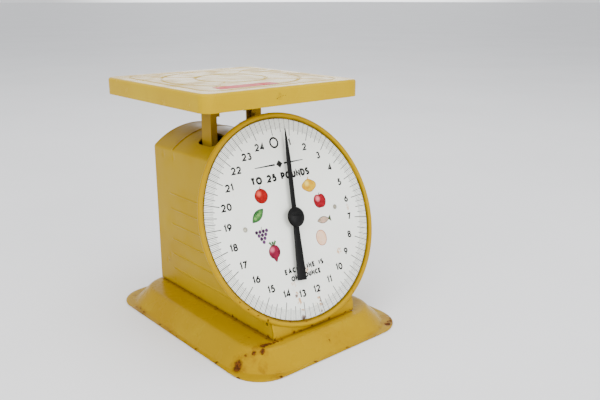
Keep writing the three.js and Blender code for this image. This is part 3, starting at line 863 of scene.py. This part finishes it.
def housing_sheet():
    half = housing_section()
    section = [(-x, z, -nx, nz) for x, z, nx, nz in half] + half[-2::-1]
    rows = []
    for x, z, nx, nz in section:
        on_roof = nz > 0.3
        flat = nz < -0.5
        lifts = [0.0 if flat else housing_lift(y, z, on_roof) for y in housing_columns(z)]
        rows.append([(x + nx * lift, y, z + nz * lift) for y, lift in zip(housing_columns(z), lifts)])
    wrap = sheet_object("housing_sheet", rows)
    if sum(face.normal.z * face.area for face in wrap.data.polygons if face.center.z > RIDGE_Z - 6) < 0:
        wrap.data.flip_normals()
    thicken(wrap, SHEET)
    for side in (-1, 1):
        combine(wrap, prism(slot_outline(side), 130, 170), "DIFFERENCE")
    combine(wrap, side_bore(1.3), "DIFFERENCE")
    combine(wrap, prism(circle(0, SPRING_Y, ADJUSTER_HOLE), 150, 170), "DIFFERENCE")
    make(wrap, housing_paint(), "root", "housing_wrap")


def apron_sheet():
    """The face sheet below the dial, bent upright along its foot."""
    turn = 3.0
    top_v = -50.0
    corner_v = (FRONT_Y - DIAL_AT[1] + FACE_W * math.cos(DIAL_LEAN)) / math.sin(DIAL_LEAN)
    corner = DIAL_FRAME @ Vector((0, corner_v, FACE_W))
    cut_back = turn * math.tan(DIAL_LEAN / 2)
    section = []
    for share in range(13):
        v = top_v + (corner_v + cut_back - top_v) * share / 12
        point = DIAL_FRAME @ Vector((0, v, FACE_W))
        section.append((point.y, point.z))
    for i in range(1, 6):
        angle = DIAL_LEAN * (1 - i / 6)
        section.append((FRONT_Y + turn * (1 - math.cos(angle)), corner.z - cut_back + turn * math.sin(angle)))
    section += [(FRONT_Y, z) for z in (corner.z - cut_back, 19.0, 17.0, FOOT_Z)]
    columns = [-WALL_X + 0.15, -WALL_X + 0.5, -WALL_X + 1.2]
    columns += [-40.0 + 4.0 * i for i in range(21)]
    columns += [WALL_X - 1.2, WALL_X - 0.5, WALL_X - 0.15]
    rows = []
    for y, z in section:
        rows.append([(x, y + 0.25 * smooth(WALL_X - 1.0, WALL_X, abs(x)), z) for x in columns])
    sheet = sheet_object("apron", rows)
    if sheet.data.polygons[0].normal.y > 0:
        sheet.data.flip_normals()
    thicken(sheet, SHEET)
    return sheet


def front_paint():
    """The face sheet rusts along the lower left of its rim and along its foot, and has painted shade in the
    seam round the dial.
    """
    rust = rim_marks(210, 236, 5, 0.7, 1.1)
    rust += marks_along((-41, -80, 16), (34, -80, 16), 5, 1.4, 1.1)
    rust += [on_dial(-12, -81, 1.4), at(24, -80, 24, 0.5)]
    stains = rim_marks(212, 236, 3, 4, 4)
    stains += [at(-38, -79, 18, 4), on_dial(-12, -82, 3)]
    return enamel("front_enamel", rust=rust, stains=stains, wear=rim_wear, seam_shade=rim_grime,
                   colour=(0.345, 0.212, 0.0))


def front_sheet():
    """The face sheet with its rolled rim, which the apron interrupts along the bottom."""
    shell = lathe("front_sheet", circle(RIM_CENTRE, RIM_LIFT, RIM_SECTION), RIM_STEPS)
    edge, low, high = (LIP[key] for key in ("radius", "low", "high"))
    lip_section = [(edge, low), (RIM_CENTRE, low), (RIM_CENTRE, high + 0.2)]
    lip_section += [(edge + 0.25, high), (edge, high - 0.2)]
    lip = lathe("lip", lip_section, RIM_STEPS)
    combine(shell, lip, "UNION")
    combine(shell, block(-WALL_X, WALL_X, -100, -60, -9, 9), "DIFFERENCE")
    disc = lathe("disc", [(2.9, FACE_W), (83.6, FACE_W), (83.9, FACE_W - 0.4), (83.9, FACE_W - 0.8),
                          (83.6, FACE_W - SHEET), (2.9, FACE_W - SHEET)], RIM_STEPS)
    combine(shell, disc, "UNION")
    shell.data.transform(DIAL_FRAME)
    combine(shell, apron_sheet(), "UNION")
    inside = WALL_X - SHEET - GAP
    foot = FOOT_Z + SHEET + GAP
    for side in (-1, 1):
        edges = sorted((side * inside, side * (inside - SHEET)))
        combine(shell, block(*edges, FRONT_Y + 0.6, -71, foot, 24), "UNION")
    combine(shell, side_bore(1.2), "DIFFERENCE")
    make(shell, front_paint(), "root", "front_shell", sharp=32)


def platform_relief(x, y):
    """The pressed lines of the platform's top, about its centre."""
    half_diagonal = PLATE_HALF * math.sqrt(2)
    reach = math.hypot(x, y)
    depth = bead(reach - 0.275 * half_diagonal, 1.5) * 0.62
    depth = max(depth, bead(reach - 0.533 * half_diagonal, 1.5) * 0.62)
    across = abs(abs(x) - abs(y)) / math.sqrt(2)
    along = (abs(x) + abs(y)) / math.sqrt(2)
    ends = smooth(0.245, 0.27, along / half_diagonal) * smooth(0.65, 0.62, along / half_diagonal)
    depth = max(depth, bead(across, 1.5) * 0.62 * ends)
    panel, panel_corner = 64.5, 12.0
    over_x, over_y = abs(x) - panel + panel_corner, abs(y) - panel + panel_corner
    outside = math.hypot(max(over_x, 0), max(over_y, 0)) + min(max(over_x, over_y), 0) - panel_corner
    return max(depth, bead(outside, 1.4) * 0.5)


def platform_paint():
    """The platform has a row of chips at the middle of its front edge."""
    front = PLATE_Y - PLATE_HALF
    rust = marks_along((-12, front, 193), (-4, front, 195), 5, 0.55, 0.5)
    rust += marks_along((70, 99, 195), (-70, 99, 190), 3, 0.9, 0.9)
    stains = [at(-8, front, 194, 3), at(50, -15, 201, 4), at(62, 62, 201, 4)]
    # Its yellow is paler than the other pieces' enamel: a painted highlight standing in for the glare on its
    # flat top
    return enamel("platform_enamel", rust=rust, stains=stains, freckles=0.3,
                   colour=(0.43, 0.285, 0.0), gloss=0.20, peel=0.10, shine=0.13)


def platform_stamping():
    per_corner, per_side = 20, 96
    fold, corner = 2.3, 9.0
    flat_half = PLATE_HALF - fold
    border = rounded_ring(flat_half, flat_half, corner - fold, 0.0, per_corner, per_side)
    rings = []
    steps = 104
    for i in range(1, steps + 1):
        share = i / steps
        inner = [(x * share, y * share) for x, y, _ in border]
        rings.append([(x, y, PLATE_TOP - platform_relief(x, y)) for x, y in inner])
    for i in range(1, 8):
        angle = math.pi / 2 * i / 7
        out = fold * math.sin(angle)
        half = flat_half + out
        z = PLATE_TOP - fold * (1 - math.cos(angle))
        rings.append(rounded_ring(half, half, corner - fold + out, z, per_corner, per_side))
    low = PLATE_TOP - PLATE_DEPTH
    for z in (196.0, 193.0, 190.5, low + 0.8, low + 0.25, low):
        tuck = 0.12 if z == low else 0.0
        half = PLATE_HALF - tuck
        rings.append(rounded_ring(half, half, corner - tuck, z, per_corner, per_side))
    pan = sheet_object("platform_stamping", rings, around=True, cap=True)
    if pan.data.polygons[-1].normal.z < 0:
        pan.data.flip_normals()
    pan.data.transform(Matrix.Translation((0, PLATE_Y, 0)))
    dent(pan, [((-8, -49, 194), 4, 0.25), ((-58, -49, 190), 5, 0.25), ((76, 60, 194), 6, 0.3)])
    thicken(pan, SHEET)
    make(pan, platform_paint(), "platform", "platform_pan")


def platform_label():
    """A blank red label, faded to pink, stuck flat on the platform."""
    outline = [(x, y) for x, y, _ in rounded_ring(27.5, 6.4, 1.2, 0.0, 5, 12)]
    label = prism([(x - 22.0, y - 24.6 + 0.012 * x) for x, y in outline], PLATE_TOP + 0.02, PLATE_TOP + 0.12)
    f = Finish("faded_label")
    tone = f.mix(f.ramp(f.noise(120.0, 5.0), 0.35, 0.7), (0.46, 0.006, 0.014), (0.55, 0.022, 0.03))
    tone = f.mix(f.ramp(f.noise(420.0, 4.0), 0.60, 0.72, 0.0, 0.5), tone, (0.70, 0.26, 0.20))
    f.bump(f.noise(500.0, 4.0), 0.0001, 0.4)
    paper = f.out(Base_Color=tone, Roughness=f.ramp(f.noise(90.0), 0.3, 0.7, 0.42, 0.6))
    label.name = "platform_label"
    make(label, paper, "platform")


# Pointer, springs and knob

def pointer_blade():
    half_widths = [(71.5, 0.18), (68.0, 0.62), (60.0, 1.32), (46.0, 2.02), (25.0, 2.15), (5.0, 2.2)]
    tail = [(-5.0, 2.6), (-25.0, 3.5), (-46.0, 4.35), (-48.9, 4.5), (-49.7, 4.1)]
    profile = half_widths + tail
    outline = [(-half, v) for v, half in profile] + [(half, v) for v, half in reversed(profile)]
    blade = prism(outline, 3.4, 4.2, "pointer_blade")
    soften(blade, 0.22)
    make(blade, satin_black("pointer_black"), "pointer", "pointer", POINTER_FRAME)


def pointer_cap():
    profile = [(0.0, 5.2), (1.5, 5.2), (1.5, 4.5), (7.8, 4.5), (8.1, 4.8)]
    profile += arc(0.0, 5.1, 8.1, 2.9, 0, 90)
    cap = lathe("pointer_cap", profile, 96, closed=False)
    combine(cap, block(-5.2, 5.2, 0.7, 1.9, 7.0, 9.0), "DIFFERENCE")
    make(cap, satin_black("cap_black"), "pointer", "pointer_hub", POINTER_FRAME)


def coil_spring(side):
    """One main spring with a hook at each end, through the spring bar above and the crossbar below."""
    x, y, radius, wire = side * 12.0, SPRING_Y, 5.2, 0.9
    low, high, coils, per_turn = 47.3, 127.3, 12, 28
    path = [(x, 4.2, 40.0), (x, 6.0, 40.0), (x, 6.5, 41.0), (x, 6.5, 44.6), (x + 1.6, 5.8, 46.2)]
    for i in range(coils * per_turn + 1):
        angle = 2 * math.pi * i / per_turn
        ease = smooth(0, per_turn / 2, i) * smooth(coils * per_turn, (coils - 0.5) * per_turn, i)
        reach = radius * (0.55 + 0.45 * ease)
        z = low + (high - low) * i / (coils * per_turn)
        path.append((x + reach * math.cos(angle), y + reach * math.sin(angle), z))
    path += [(x + 1.6, 5.8, 127.9), (x, 6.5, 129.5), (x, 6.5, 135.8), (x, 6.0, 136.6), (x, 4.2, 136.6)]
    side_name = "left" if side < 0 else "right"
    spring = tube("spring_coil_" + side_name, path, wire, 10)
    steel = metal("spring_wire_" + side_name, (0.30, 0.30, 0.31), (0.12, 0.10, 0.085), 0.38)
    spring = make(spring, steel, None, "main_spring_" + side_name)
    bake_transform(spring)


def knurled_knob():
    under = [(0.0, 159.5), (2.3, 159.5), (2.3, 158.2), (4.0, 158.2), (7.4, 159.8), (8.0, 160.4)]
    over = [(8.0, 161.4), (8.0, 165.2), (7.7, 166.3), (7.1, 166.9), (5.6, 167.0), (5.0, 166.5), (0.0, 166.5)]
    profile = under + over
    ridges, segments = 36, 288
    vertices = []
    for radius, z in profile:
        for i in range(segments):
            angle = 2 * math.pi * i / segments
            cut = 0.28 * (0.5 - 0.5 * math.cos(ridges * angle)) if radius > 7.6 else 0.0
            reach = radius - cut
            vertices.append((reach * math.cos(angle), SPRING_Y + reach * math.sin(angle), z))
    knob = mesh_object("knurled_knob", vertices, grid_faces(len(profile), segments, around=True))
    zinc = metal("knob_zinc", (0.42, 0.42, 0.40), (0.20, 0.18, 0.15), 0.36)
    make(knob, zinc, "adjuster", "adjust_knob", sharp=50)


# Dial printing

class Print:
    """Thin printed films on the dial, each closed, between two heights above its face."""

    def __init__(self, layer):
        self.low = 0.012 + 0.02 * layer
        self.high = self.low + 0.018
        self.vertices = []
        self.faces = []

    def area(self, outline):
        count, base = len(outline), len(self.vertices)
        self.vertices += [(u, v, self.low) for u, v in outline] + [(u, v, self.high) for u, v in outline]
        self.faces.append(tuple(reversed(range(base, base + count))))
        self.faces.append(tuple(range(base + count, base + 2 * count)))
        for i in range(count):
            after = (i + 1) % count
            self.faces.append((base + i, base + after, base + count + after, base + count + i))

    def disc(self, u, v, radius, steps=28):
        self.area(circle(u, v, radius, steps))

    def stroke(self, points, widths, closed=False):
        """A line of one width, or of a width for each point."""
        count = len(points)
        if not isinstance(widths, (list, tuple)):
            widths = [widths] * count
        left, right = [], []
        for i, (u, v) in enumerate(points):
            before = points[i - 1] if closed or i > 0 else points[i]
            after = points[(i + 1) % count] if closed or i < count - 1 else points[i]
            into = unit(u - before[0], v - before[1])
            away = unit(after[0] - u, after[1] - v)
            into = into or away
            away = away or into
            normal = unit(-(into[1] + away[1]), into[0] + away[0]) or (-into[1], into[0])
            spread = max(0.45, normal[0] * -into[1] + normal[1] * into[0])
            half = widths[i] / 2 / spread
            left.append((u + normal[0] * half, v + normal[1] * half))
            right.append((u - normal[0] * half, v - normal[1] * half))
        self.strip(left, right, closed)

    def strip(self, left, right, closed):
        count, base = len(left), len(self.vertices)
        for height in (self.low, self.high):
            self.vertices += [(u, v, height) for u, v in left] + [(u, v, height) for u, v in right]
        low_left, low_right = base, base + count
        high_left, high_right = base + 2 * count, base + 3 * count
        for i in range(count if closed else count - 1):
            j = (i + 1) % count
            self.faces.append((low_left + i, low_left + j, low_right + j, low_right + i))
            self.faces.append((high_left + i, high_right + i, high_right + j, high_left + j))
            self.faces.append((low_left + i, high_left + i, high_left + j, low_left + j))
            self.faces.append((low_right + i, low_right + j, high_right + j, high_right + i))
        if not closed:
            for i in (0, count - 1):
                self.faces.append((low_left + i, low_right + i, high_right + i, high_left + i))

    def place(self, name, material):
        obj = mesh_object(name, self.vertices, self.faces)
        make(obj, material, "root", None, DIAL_FRAME)


def unit(x, y):
    length = math.hypot(x, y)
    return (x / length, y / length) if length > 1e-9 else None


GLYPHS = {
    "0": [arc(0.34, 0.5, 0.34, 0.5, 90, 450, 24)],
    "1": [[(0.0, 0.80), (0.2, 1.0), (0.2, 0.0)]],
    "2": [arc(0.33, 0.69, 0.31, 0.31, 170, -38, 12) + [(0.0, 0.0), (0.68, 0.0)]],
    "3": [arc(0.30, 0.76, 0.25, 0.24, 155, -90, 12), arc(0.30, 0.26, 0.30, 0.26, 90, -155, 14)],
    "4": [[(0.50, 0.0), (0.50, 1.0), (0.0, 0.27), (0.70, 0.27)]],
    "5": [[(0.58, 1.0), (0.20, 1.0)] + arc(0.28, 0.32, 0.32, 0.32, 118, -150, 16)],
    "6": [[(0.50, 1.0), (0.07, 0.44)] + arc(0.33, 0.30, 0.31, 0.30, 150, 510, 24)],
    "7": [[(0.0, 1.0), (0.62, 1.0), (0.16, 0.0)]],
    "8": [arc(0.32, 0.76, 0.24, 0.24, 90, 450, 20), arc(0.32, 0.26, 0.30, 0.26, 90, 450, 20)],
    "9": [[(0.14, 0.0), (0.59, 0.56)] + arc(0.33, 0.70, 0.31, 0.30, -30, 330, 24)],
    "A": [[(0.0, 0.0), (0.36, 1.0), (0.72, 0.0)], [(0.13, 0.32), (0.59, 0.32)]],
    "C": [arc(0.42, 0.5, 0.42, 0.5, 48, 312, 18)],
    "D": [[(0.0, 0.0), (0.0, 1.0)] + arc(0.20, 0.5, 0.46, 0.5, 90, -90, 14) + [(0.0, 0.0)]],
    "E": [[(0.52, 1.0), (0.0, 1.0), (0.0, 0.0), (0.52, 0.0)], [(0.0, 0.5), (0.44, 0.5)]],
    "H": [[(0.0, 0.0), (0.0, 1.0)], [(0.62, 0.0), (0.62, 1.0)], [(0.0, 0.5), (0.62, 0.5)]],
    "I": [[(0.0, 0.0), (0.0, 1.0)]],
    "L": [[(0.0, 1.0), (0.0, 0.0), (0.48, 0.0)]],
    "N": [[(0.0, 0.0), (0.0, 1.0), (0.62, 0.0), (0.62, 1.0)]],
    "O": [arc(0.46, 0.5, 0.46, 0.5, 90, 450, 24)],
    "P": [[(0.0, 0.0), (0.0, 1.0)] + arc(0.28, 0.73, 0.27, 0.27, 90, -90, 8) + [(0.0, 0.46)]],
    "S": [arc(0.28, 0.75, 0.26, 0.25, 35, 270, 12) + arc(0.28, 0.25, 0.28, 0.25, 80, -145, 12)],
    "T": [[(0.0, 1.0), (0.64, 1.0)], [(0.32, 1.0), (0.32, 0.0)]],
    "U": [[(0.0, 1.0), (0.0, 0.32)] + arc(0.30, 0.32, 0.30, 0.32, 180, 360, 12) + [(0.60, 1.0)]],
}


def glyph_width(letter):
    return 0.5 if letter == " " else max(x for part in GLYPHS[letter] for x, _ in part)


def write(target, words, u, v, height, weight, gap=0.26):
    """Sets words centred on (u, v)."""
    size = height - weight
    total = sum(glyph_width(letter) for letter in words) + gap * (len(words) - 1)
    cursor = u - total * size / 2
    for letter in words:
        for part in GLYPHS.get(letter, ()):
            target.stroke([(cursor + x * size, v + (y - 0.5) * size) for x, y in part], weight)
        cursor += (glyph_width(letter) + gap) * size


def round_dial(turn, radius, centre_v=0.0):
    return (radius * math.sin(turn), radius * math.cos(turn) + centre_v)


def graduations():
    """Four hundred ounce marks, longer at each quarter, half and whole pound."""
    marks = Print(0)
    fine = Print(0)
    for i in range(DIVISIONS * OUNCES):
        turn = 2 * math.pi * i / (DIVISIONS * OUNCES)
        if i % OUNCES == 0:
            target, inner, width = marks, 66.9, 0.66
        elif i % (OUNCES // 2) == 0:
            target, inner, width = marks, 69.4, 0.60
        elif i % (OUNCES // 4) == 0:
            target, inner, width = marks, 71.0, 0.54
        else:
            target, inner, width = fine, 72.2, 0.27
        target.stroke([round_dial(turn, inner), round_dial(turn, MARK_END)], width)
    marks.place("dial_pound_marks", ink("mark_ink", BLACK, (0.016, 0.017, 0.015)))
    fine.place("dial_ounce_marks", ink("fine_mark_ink", (0.035, 0.040, 0.035), (0.075, 0.080, 0.070)))


def numerals():
    figures = Print(0)
    for k in range(1, DIVISIONS):
        u, v = round_dial(2 * math.pi * k / DIVISIONS, NUMERAL_RING, 0.6)
        write(figures, str(k), u, v, 6.0, 1.36, 0.40)
    figures.stroke(arc(-0.4, 61.3, 3.75, 3.85, 0, 352.5, 47), 1.6, closed=True)
    figures.place("dial_numerals", ink("numeral_ink", BLACK, (0.010, 0.009, 0.008)))


def words():
    """Plain words for what the dial is, with a plain ruled ornament over them."""
    lines = Print(0)
    write(lines, "TO 25 POUNDS", -1.4, 34.0, 6.3, 1.8, 0.46)
    write(lines, "EACH LINE IS", 0.4, -40.0, 4.4, 1.3, 0.62)
    write(lines, "ONE OUNCE", 0.4, -46.4, 4.2, 1.25, 0.52)
    for side in (-1, 1):
        lines.stroke([(side * 4.6, 43.9), (side * 24.5, 43.9)], [1.5, 0.6])
    lines.area([(-3.2, 43.9), (0, 40.7), (3.2, 43.9), (0, 47.1)])
    lines.place("dial_words", ink("word_ink", BLACK, (0.010, 0.009, 0.008)))


# Food symbols on the dial. They are plain shapes worked out by formula, four to a side on one ring.

SYMBOL_RING = 33.0
SYMBOL_ANGLES = (42, 14, -14, -42)
OUTLINE = 0.5


def symbol_place(side, row):
    angle = math.radians(SYMBOL_ANGLES[row])
    return side * SYMBOL_RING * math.cos(angle), SYMBOL_RING * math.sin(angle)


def swelling(angle, middle, width):
    """A smooth hump, 1 at the middle angle, for pushing an outline in or out there."""
    off = math.remainder(angle - middle, 2 * math.pi)
    return math.exp(-(off / width) ** 2)


def polar(u, v, radius, steps=60):
    """An outline round (u, v), whose distance at each angle is radius(angle)."""
    turns = [2 * math.pi * i / steps for i in range(steps)]
    return [(u + radius(a) * math.cos(a), v + radius(a) * math.sin(a)) for a in turns]


def pointed_oval(u, v, half_length, half_width, lean, steps=18):
    """Two equal arcs that meet in points, turned by lean degrees."""
    turn = math.radians(lean)
    span = [2 * i / steps - 1 for i in range(steps)]
    edge = [(t, 1 - t * t) for t in span] + [(-t, t * t - 1) for t in span]
    shape = [(t * half_length, rise * half_width) for t, rise in edge]
    return [(u + x * math.cos(turn) - y * math.sin(turn), v + x * math.sin(turn) + y * math.cos(turn))
            for x, y in shape]


def fruit(name, side, row, radius, flesh, shade, light):
    """A round fruit in one colour with a pale sheen, a thin outline and a short stalk."""
    u, v = symbol_place(side, row)
    top = v + radius(math.pi / 2)
    skin, line = Print(0), Print(1)
    edge = polar(u, v, radius)
    skin.area(edge)
    line.stroke(edge, OUTLINE, closed=True)
    line.stroke([(u, top - 0.5), (u + 0.4, top + 1.0), (u + 1.2, top + 2.0)], [0.9, 0.7, 0.5])
    sheen = on_dial(u - 1.8, v + 2.0, 3.4)
    skin.place("dial_" + name, ink(name + "_ink", flesh, shade, 280.0, light, sheen))
    line.place("dial_" + name + "_line", ink(name + "_line_ink", dark_of(shade), shade))


def dark_of(colour):
    return tuple(channel * 0.3 for channel in colour)


def apple():
    def radius(angle):
        return 6.2 - 1.5 * swelling(angle, math.pi / 2, 0.4) - 0.6 * swelling(angle, -math.pi / 2, 0.35)

    fruit("apple", 1, 1, radius, (0.27, 0.004, 0.012), (0.17, 0.002, 0.007),
          (0.74, 0.16, 0.20))


def tomato():
    fruit("tomato", -1, 0, lambda a: 6.2 - 0.6 * abs(math.sin(a)), (0.29, 0.003, 0.002), (0.20, 0.002, 0.001),
          (0.66, 0.075, 0.045))


def lemon():
    fruit("lemon", 1, 0, lambda a: 5.2 + 2.2 * abs(math.cos(a)) ** 7,
          (0.58, 0.36, 0.004), (0.50, 0.23, 0.002), (0.74, 0.55, 0.10))


def beetroot():
    u, v = symbol_place(-1, 3)
    leaves = Print(0)
    for reach in (-3.0, 0.0, 3.0):
        leaves.stroke([(u + reach * 0.2, v + 4.4), (u + reach, v + 8.2)], [0.8, 2.0])
    leaves.place("dial_beetroot_leaves", ink("beet_leaf_ink", (0.012, 0.070, 0.016), (0.050, 0.16, 0.035)))
    fruit("beetroot", -1, 3, lambda a: 5.2 + 2.6 * swelling(a, -math.pi / 2, 0.22), (0.20, 0.006, 0.030),
          (0.11, 0.003, 0.018), (0.52, 0.10, 0.16))


def egg():
    u, v = symbol_place(1, 3)
    edge = polar(u, v, lambda a: 5.2 + 1.0 * math.sin(a) ** 2 + 0.4 * math.sin(a))
    shell, line = Print(0), Print(1)
    shell.area(edge)
    line.stroke(edge, OUTLINE, closed=True)
    shell.place("dial_egg", ink("egg_ink", (0.74, 0.46, 0.27), (0.76, 0.52, 0.36), 220.0))
    line.place("dial_egg_line", ink("egg_line_ink", (0.26, 0.032, 0.008), (0.42, 0.080, 0.024), 420.0))


def pea_pod():
    u, v = symbol_place(-1, 1)
    lean = 35
    pod, peas, line = Print(0), Print(1), Print(2)
    edge = pointed_oval(u, v, 7.4, 3.4, lean)
    pod.area(edge)
    line.stroke(edge, OUTLINE, closed=True)
    for along in (-3.3, -1.1, 1.1, 3.3):
        angle = math.radians(lean)
        peas.disc(u + along * math.cos(angle), v + along * math.sin(angle), 1.25)
    pod.place("dial_pea_pod", ink("pod_ink", (0.012, 0.070, 0.016), (0.050, 0.16, 0.035), 330.0))
    peas.place("dial_peas", ink("pea_ink", (0.17, 0.35, 0.08), (0.07, 0.20, 0.045), 300.0))
    line.place("dial_pea_pod_line", ink("pod_line_ink", (0.006, 0.036, 0.010), (0.012, 0.060, 0.016)))


def grapes():
    """A triangle of touching grapes, each row one shorter than the row above."""
    u, v = symbol_place(-1, 2)
    size = 1.6
    dark, light, stalk = Print(0), Print(0), Print(1)
    for row in range(4):
        for k in range(4 - row):
            across = (k - (3 - row) / 2) * 2 * size
            target = (dark, light)[(row + k) % 2]
            target.disc(u + across, v + 3.6 - row * size * math.sqrt(3), size * 0.94, 20)
    stalk.stroke([(u, v + 4.6), (u + 0.8, v + 7.2)], [0.8, 0.6])
    dark.place("dial_grapes_dark", ink("grape_dark_ink", (0.024, 0.006, 0.026), (0.045, 0.012, 0.048), 420.0))
    light.place("dial_grapes_light", ink("grape_ink", (0.050, 0.016, 0.055), (0.11, 0.04, 0.12), 420.0))
    stalk.place("dial_grapes_stalk", ink("grape_stalk_ink", (0.25, 0.25, 0.20), (0.18, 0.18, 0.13)))


def fish():
    u, v = symbol_place(1, 2)
    body, fin, line = Print(0), Print(1), Print(2)
    edge = pointed_oval(u - 1.2, v, 6.2, 2.6, 0)
    body.area(edge)
    fin.area([(u + 3.8, v), (u + 7.2, v + 2.8), (u + 7.2, v - 2.8)])
    line.stroke(edge, OUTLINE, closed=True)
    line.disc(u - 4.6, v + 0.5, 0.5, 14)
    body.place("dial_fish", ink("fish_ink", (0.52, 0.33, 0.24), (0.34, 0.27, 0.18), 240.0))
    fin.place("dial_fish_tail", ink("fish_tail_ink", (0.030, 0.042, 0.020), (0.070, 0.085, 0.042), 300.0))
    line.place("dial_fish_line", ink("fish_line_ink", (0.03, 0.027, 0.018), (0.07, 0.055, 0.035)))


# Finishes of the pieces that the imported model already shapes

def finish_cad_pieces():
    steel = metal("strip_steel", (0.36, 0.37, 0.37), (0.16, 0.14, 0.12), 0.40, (1.0, 1.0, 0.2))
    zinc = metal("zinc_plate", (0.45, 0.45, 0.43), (0.22, 0.20, 0.17), 0.42)
    brass = metal("old_brass", (0.50, 0.33, 0.10), (0.20, 0.11, 0.04), 0.38)
    rivet = metal("rivet_zinc", (0.36, 0.35, 0.28), (0.16, 0.13, 0.08), 0.5)
    post_stains = [at(-25, 27, 175, 5), at(25, 27, 165, 6)]
    post_paint = enamel("post_enamel", stains=post_stains, colour=(0.33, 0.195, 0.0))
    rear_paint = enamel("rear_enamel", rust=[at(-30, 86, 24, 2.0), at(33, 86, 19, 1.6), at(36, 86, 60, 1.2)],
                        stains=[at(-30, 86, 24, 7), at(20, 86, 20, 8)])
    finishes = {"bare_steel": steel, "zinc": zinc, "brass": brass, "dial_print": dial_paint("dial_white"),
                "spring_steel": steel, "black_paint": satin_black("black_parts"), "yellow_enamel": post_paint}
    special = {"rear_cover": rear_paint, "dial_rivet_left": rivet, "dial_rivet_right": rivet}
    slots = {part["node"]: part["material_slot"] for part in frame["record"]["subparts"]}
    for name, obj in frame["nodes"].items():
        obj.data.materials.clear()
        obj.data.materials.append(special.get(name) or finishes[slots[name]])


set_camera()
set_stage()
finish_cad_pieces()
base_stamping()
housing_sheet()
front_sheet()
platform_stamping()
platform_label()
pointer_blade()
pointer_cap()
coil_spring(-1)
coil_spring(1)
knurled_knob()
graduations()
numerals()
words()
tomato()
lemon()
pea_pod()
apple()
grapes()
fish()
beetroot()
egg()
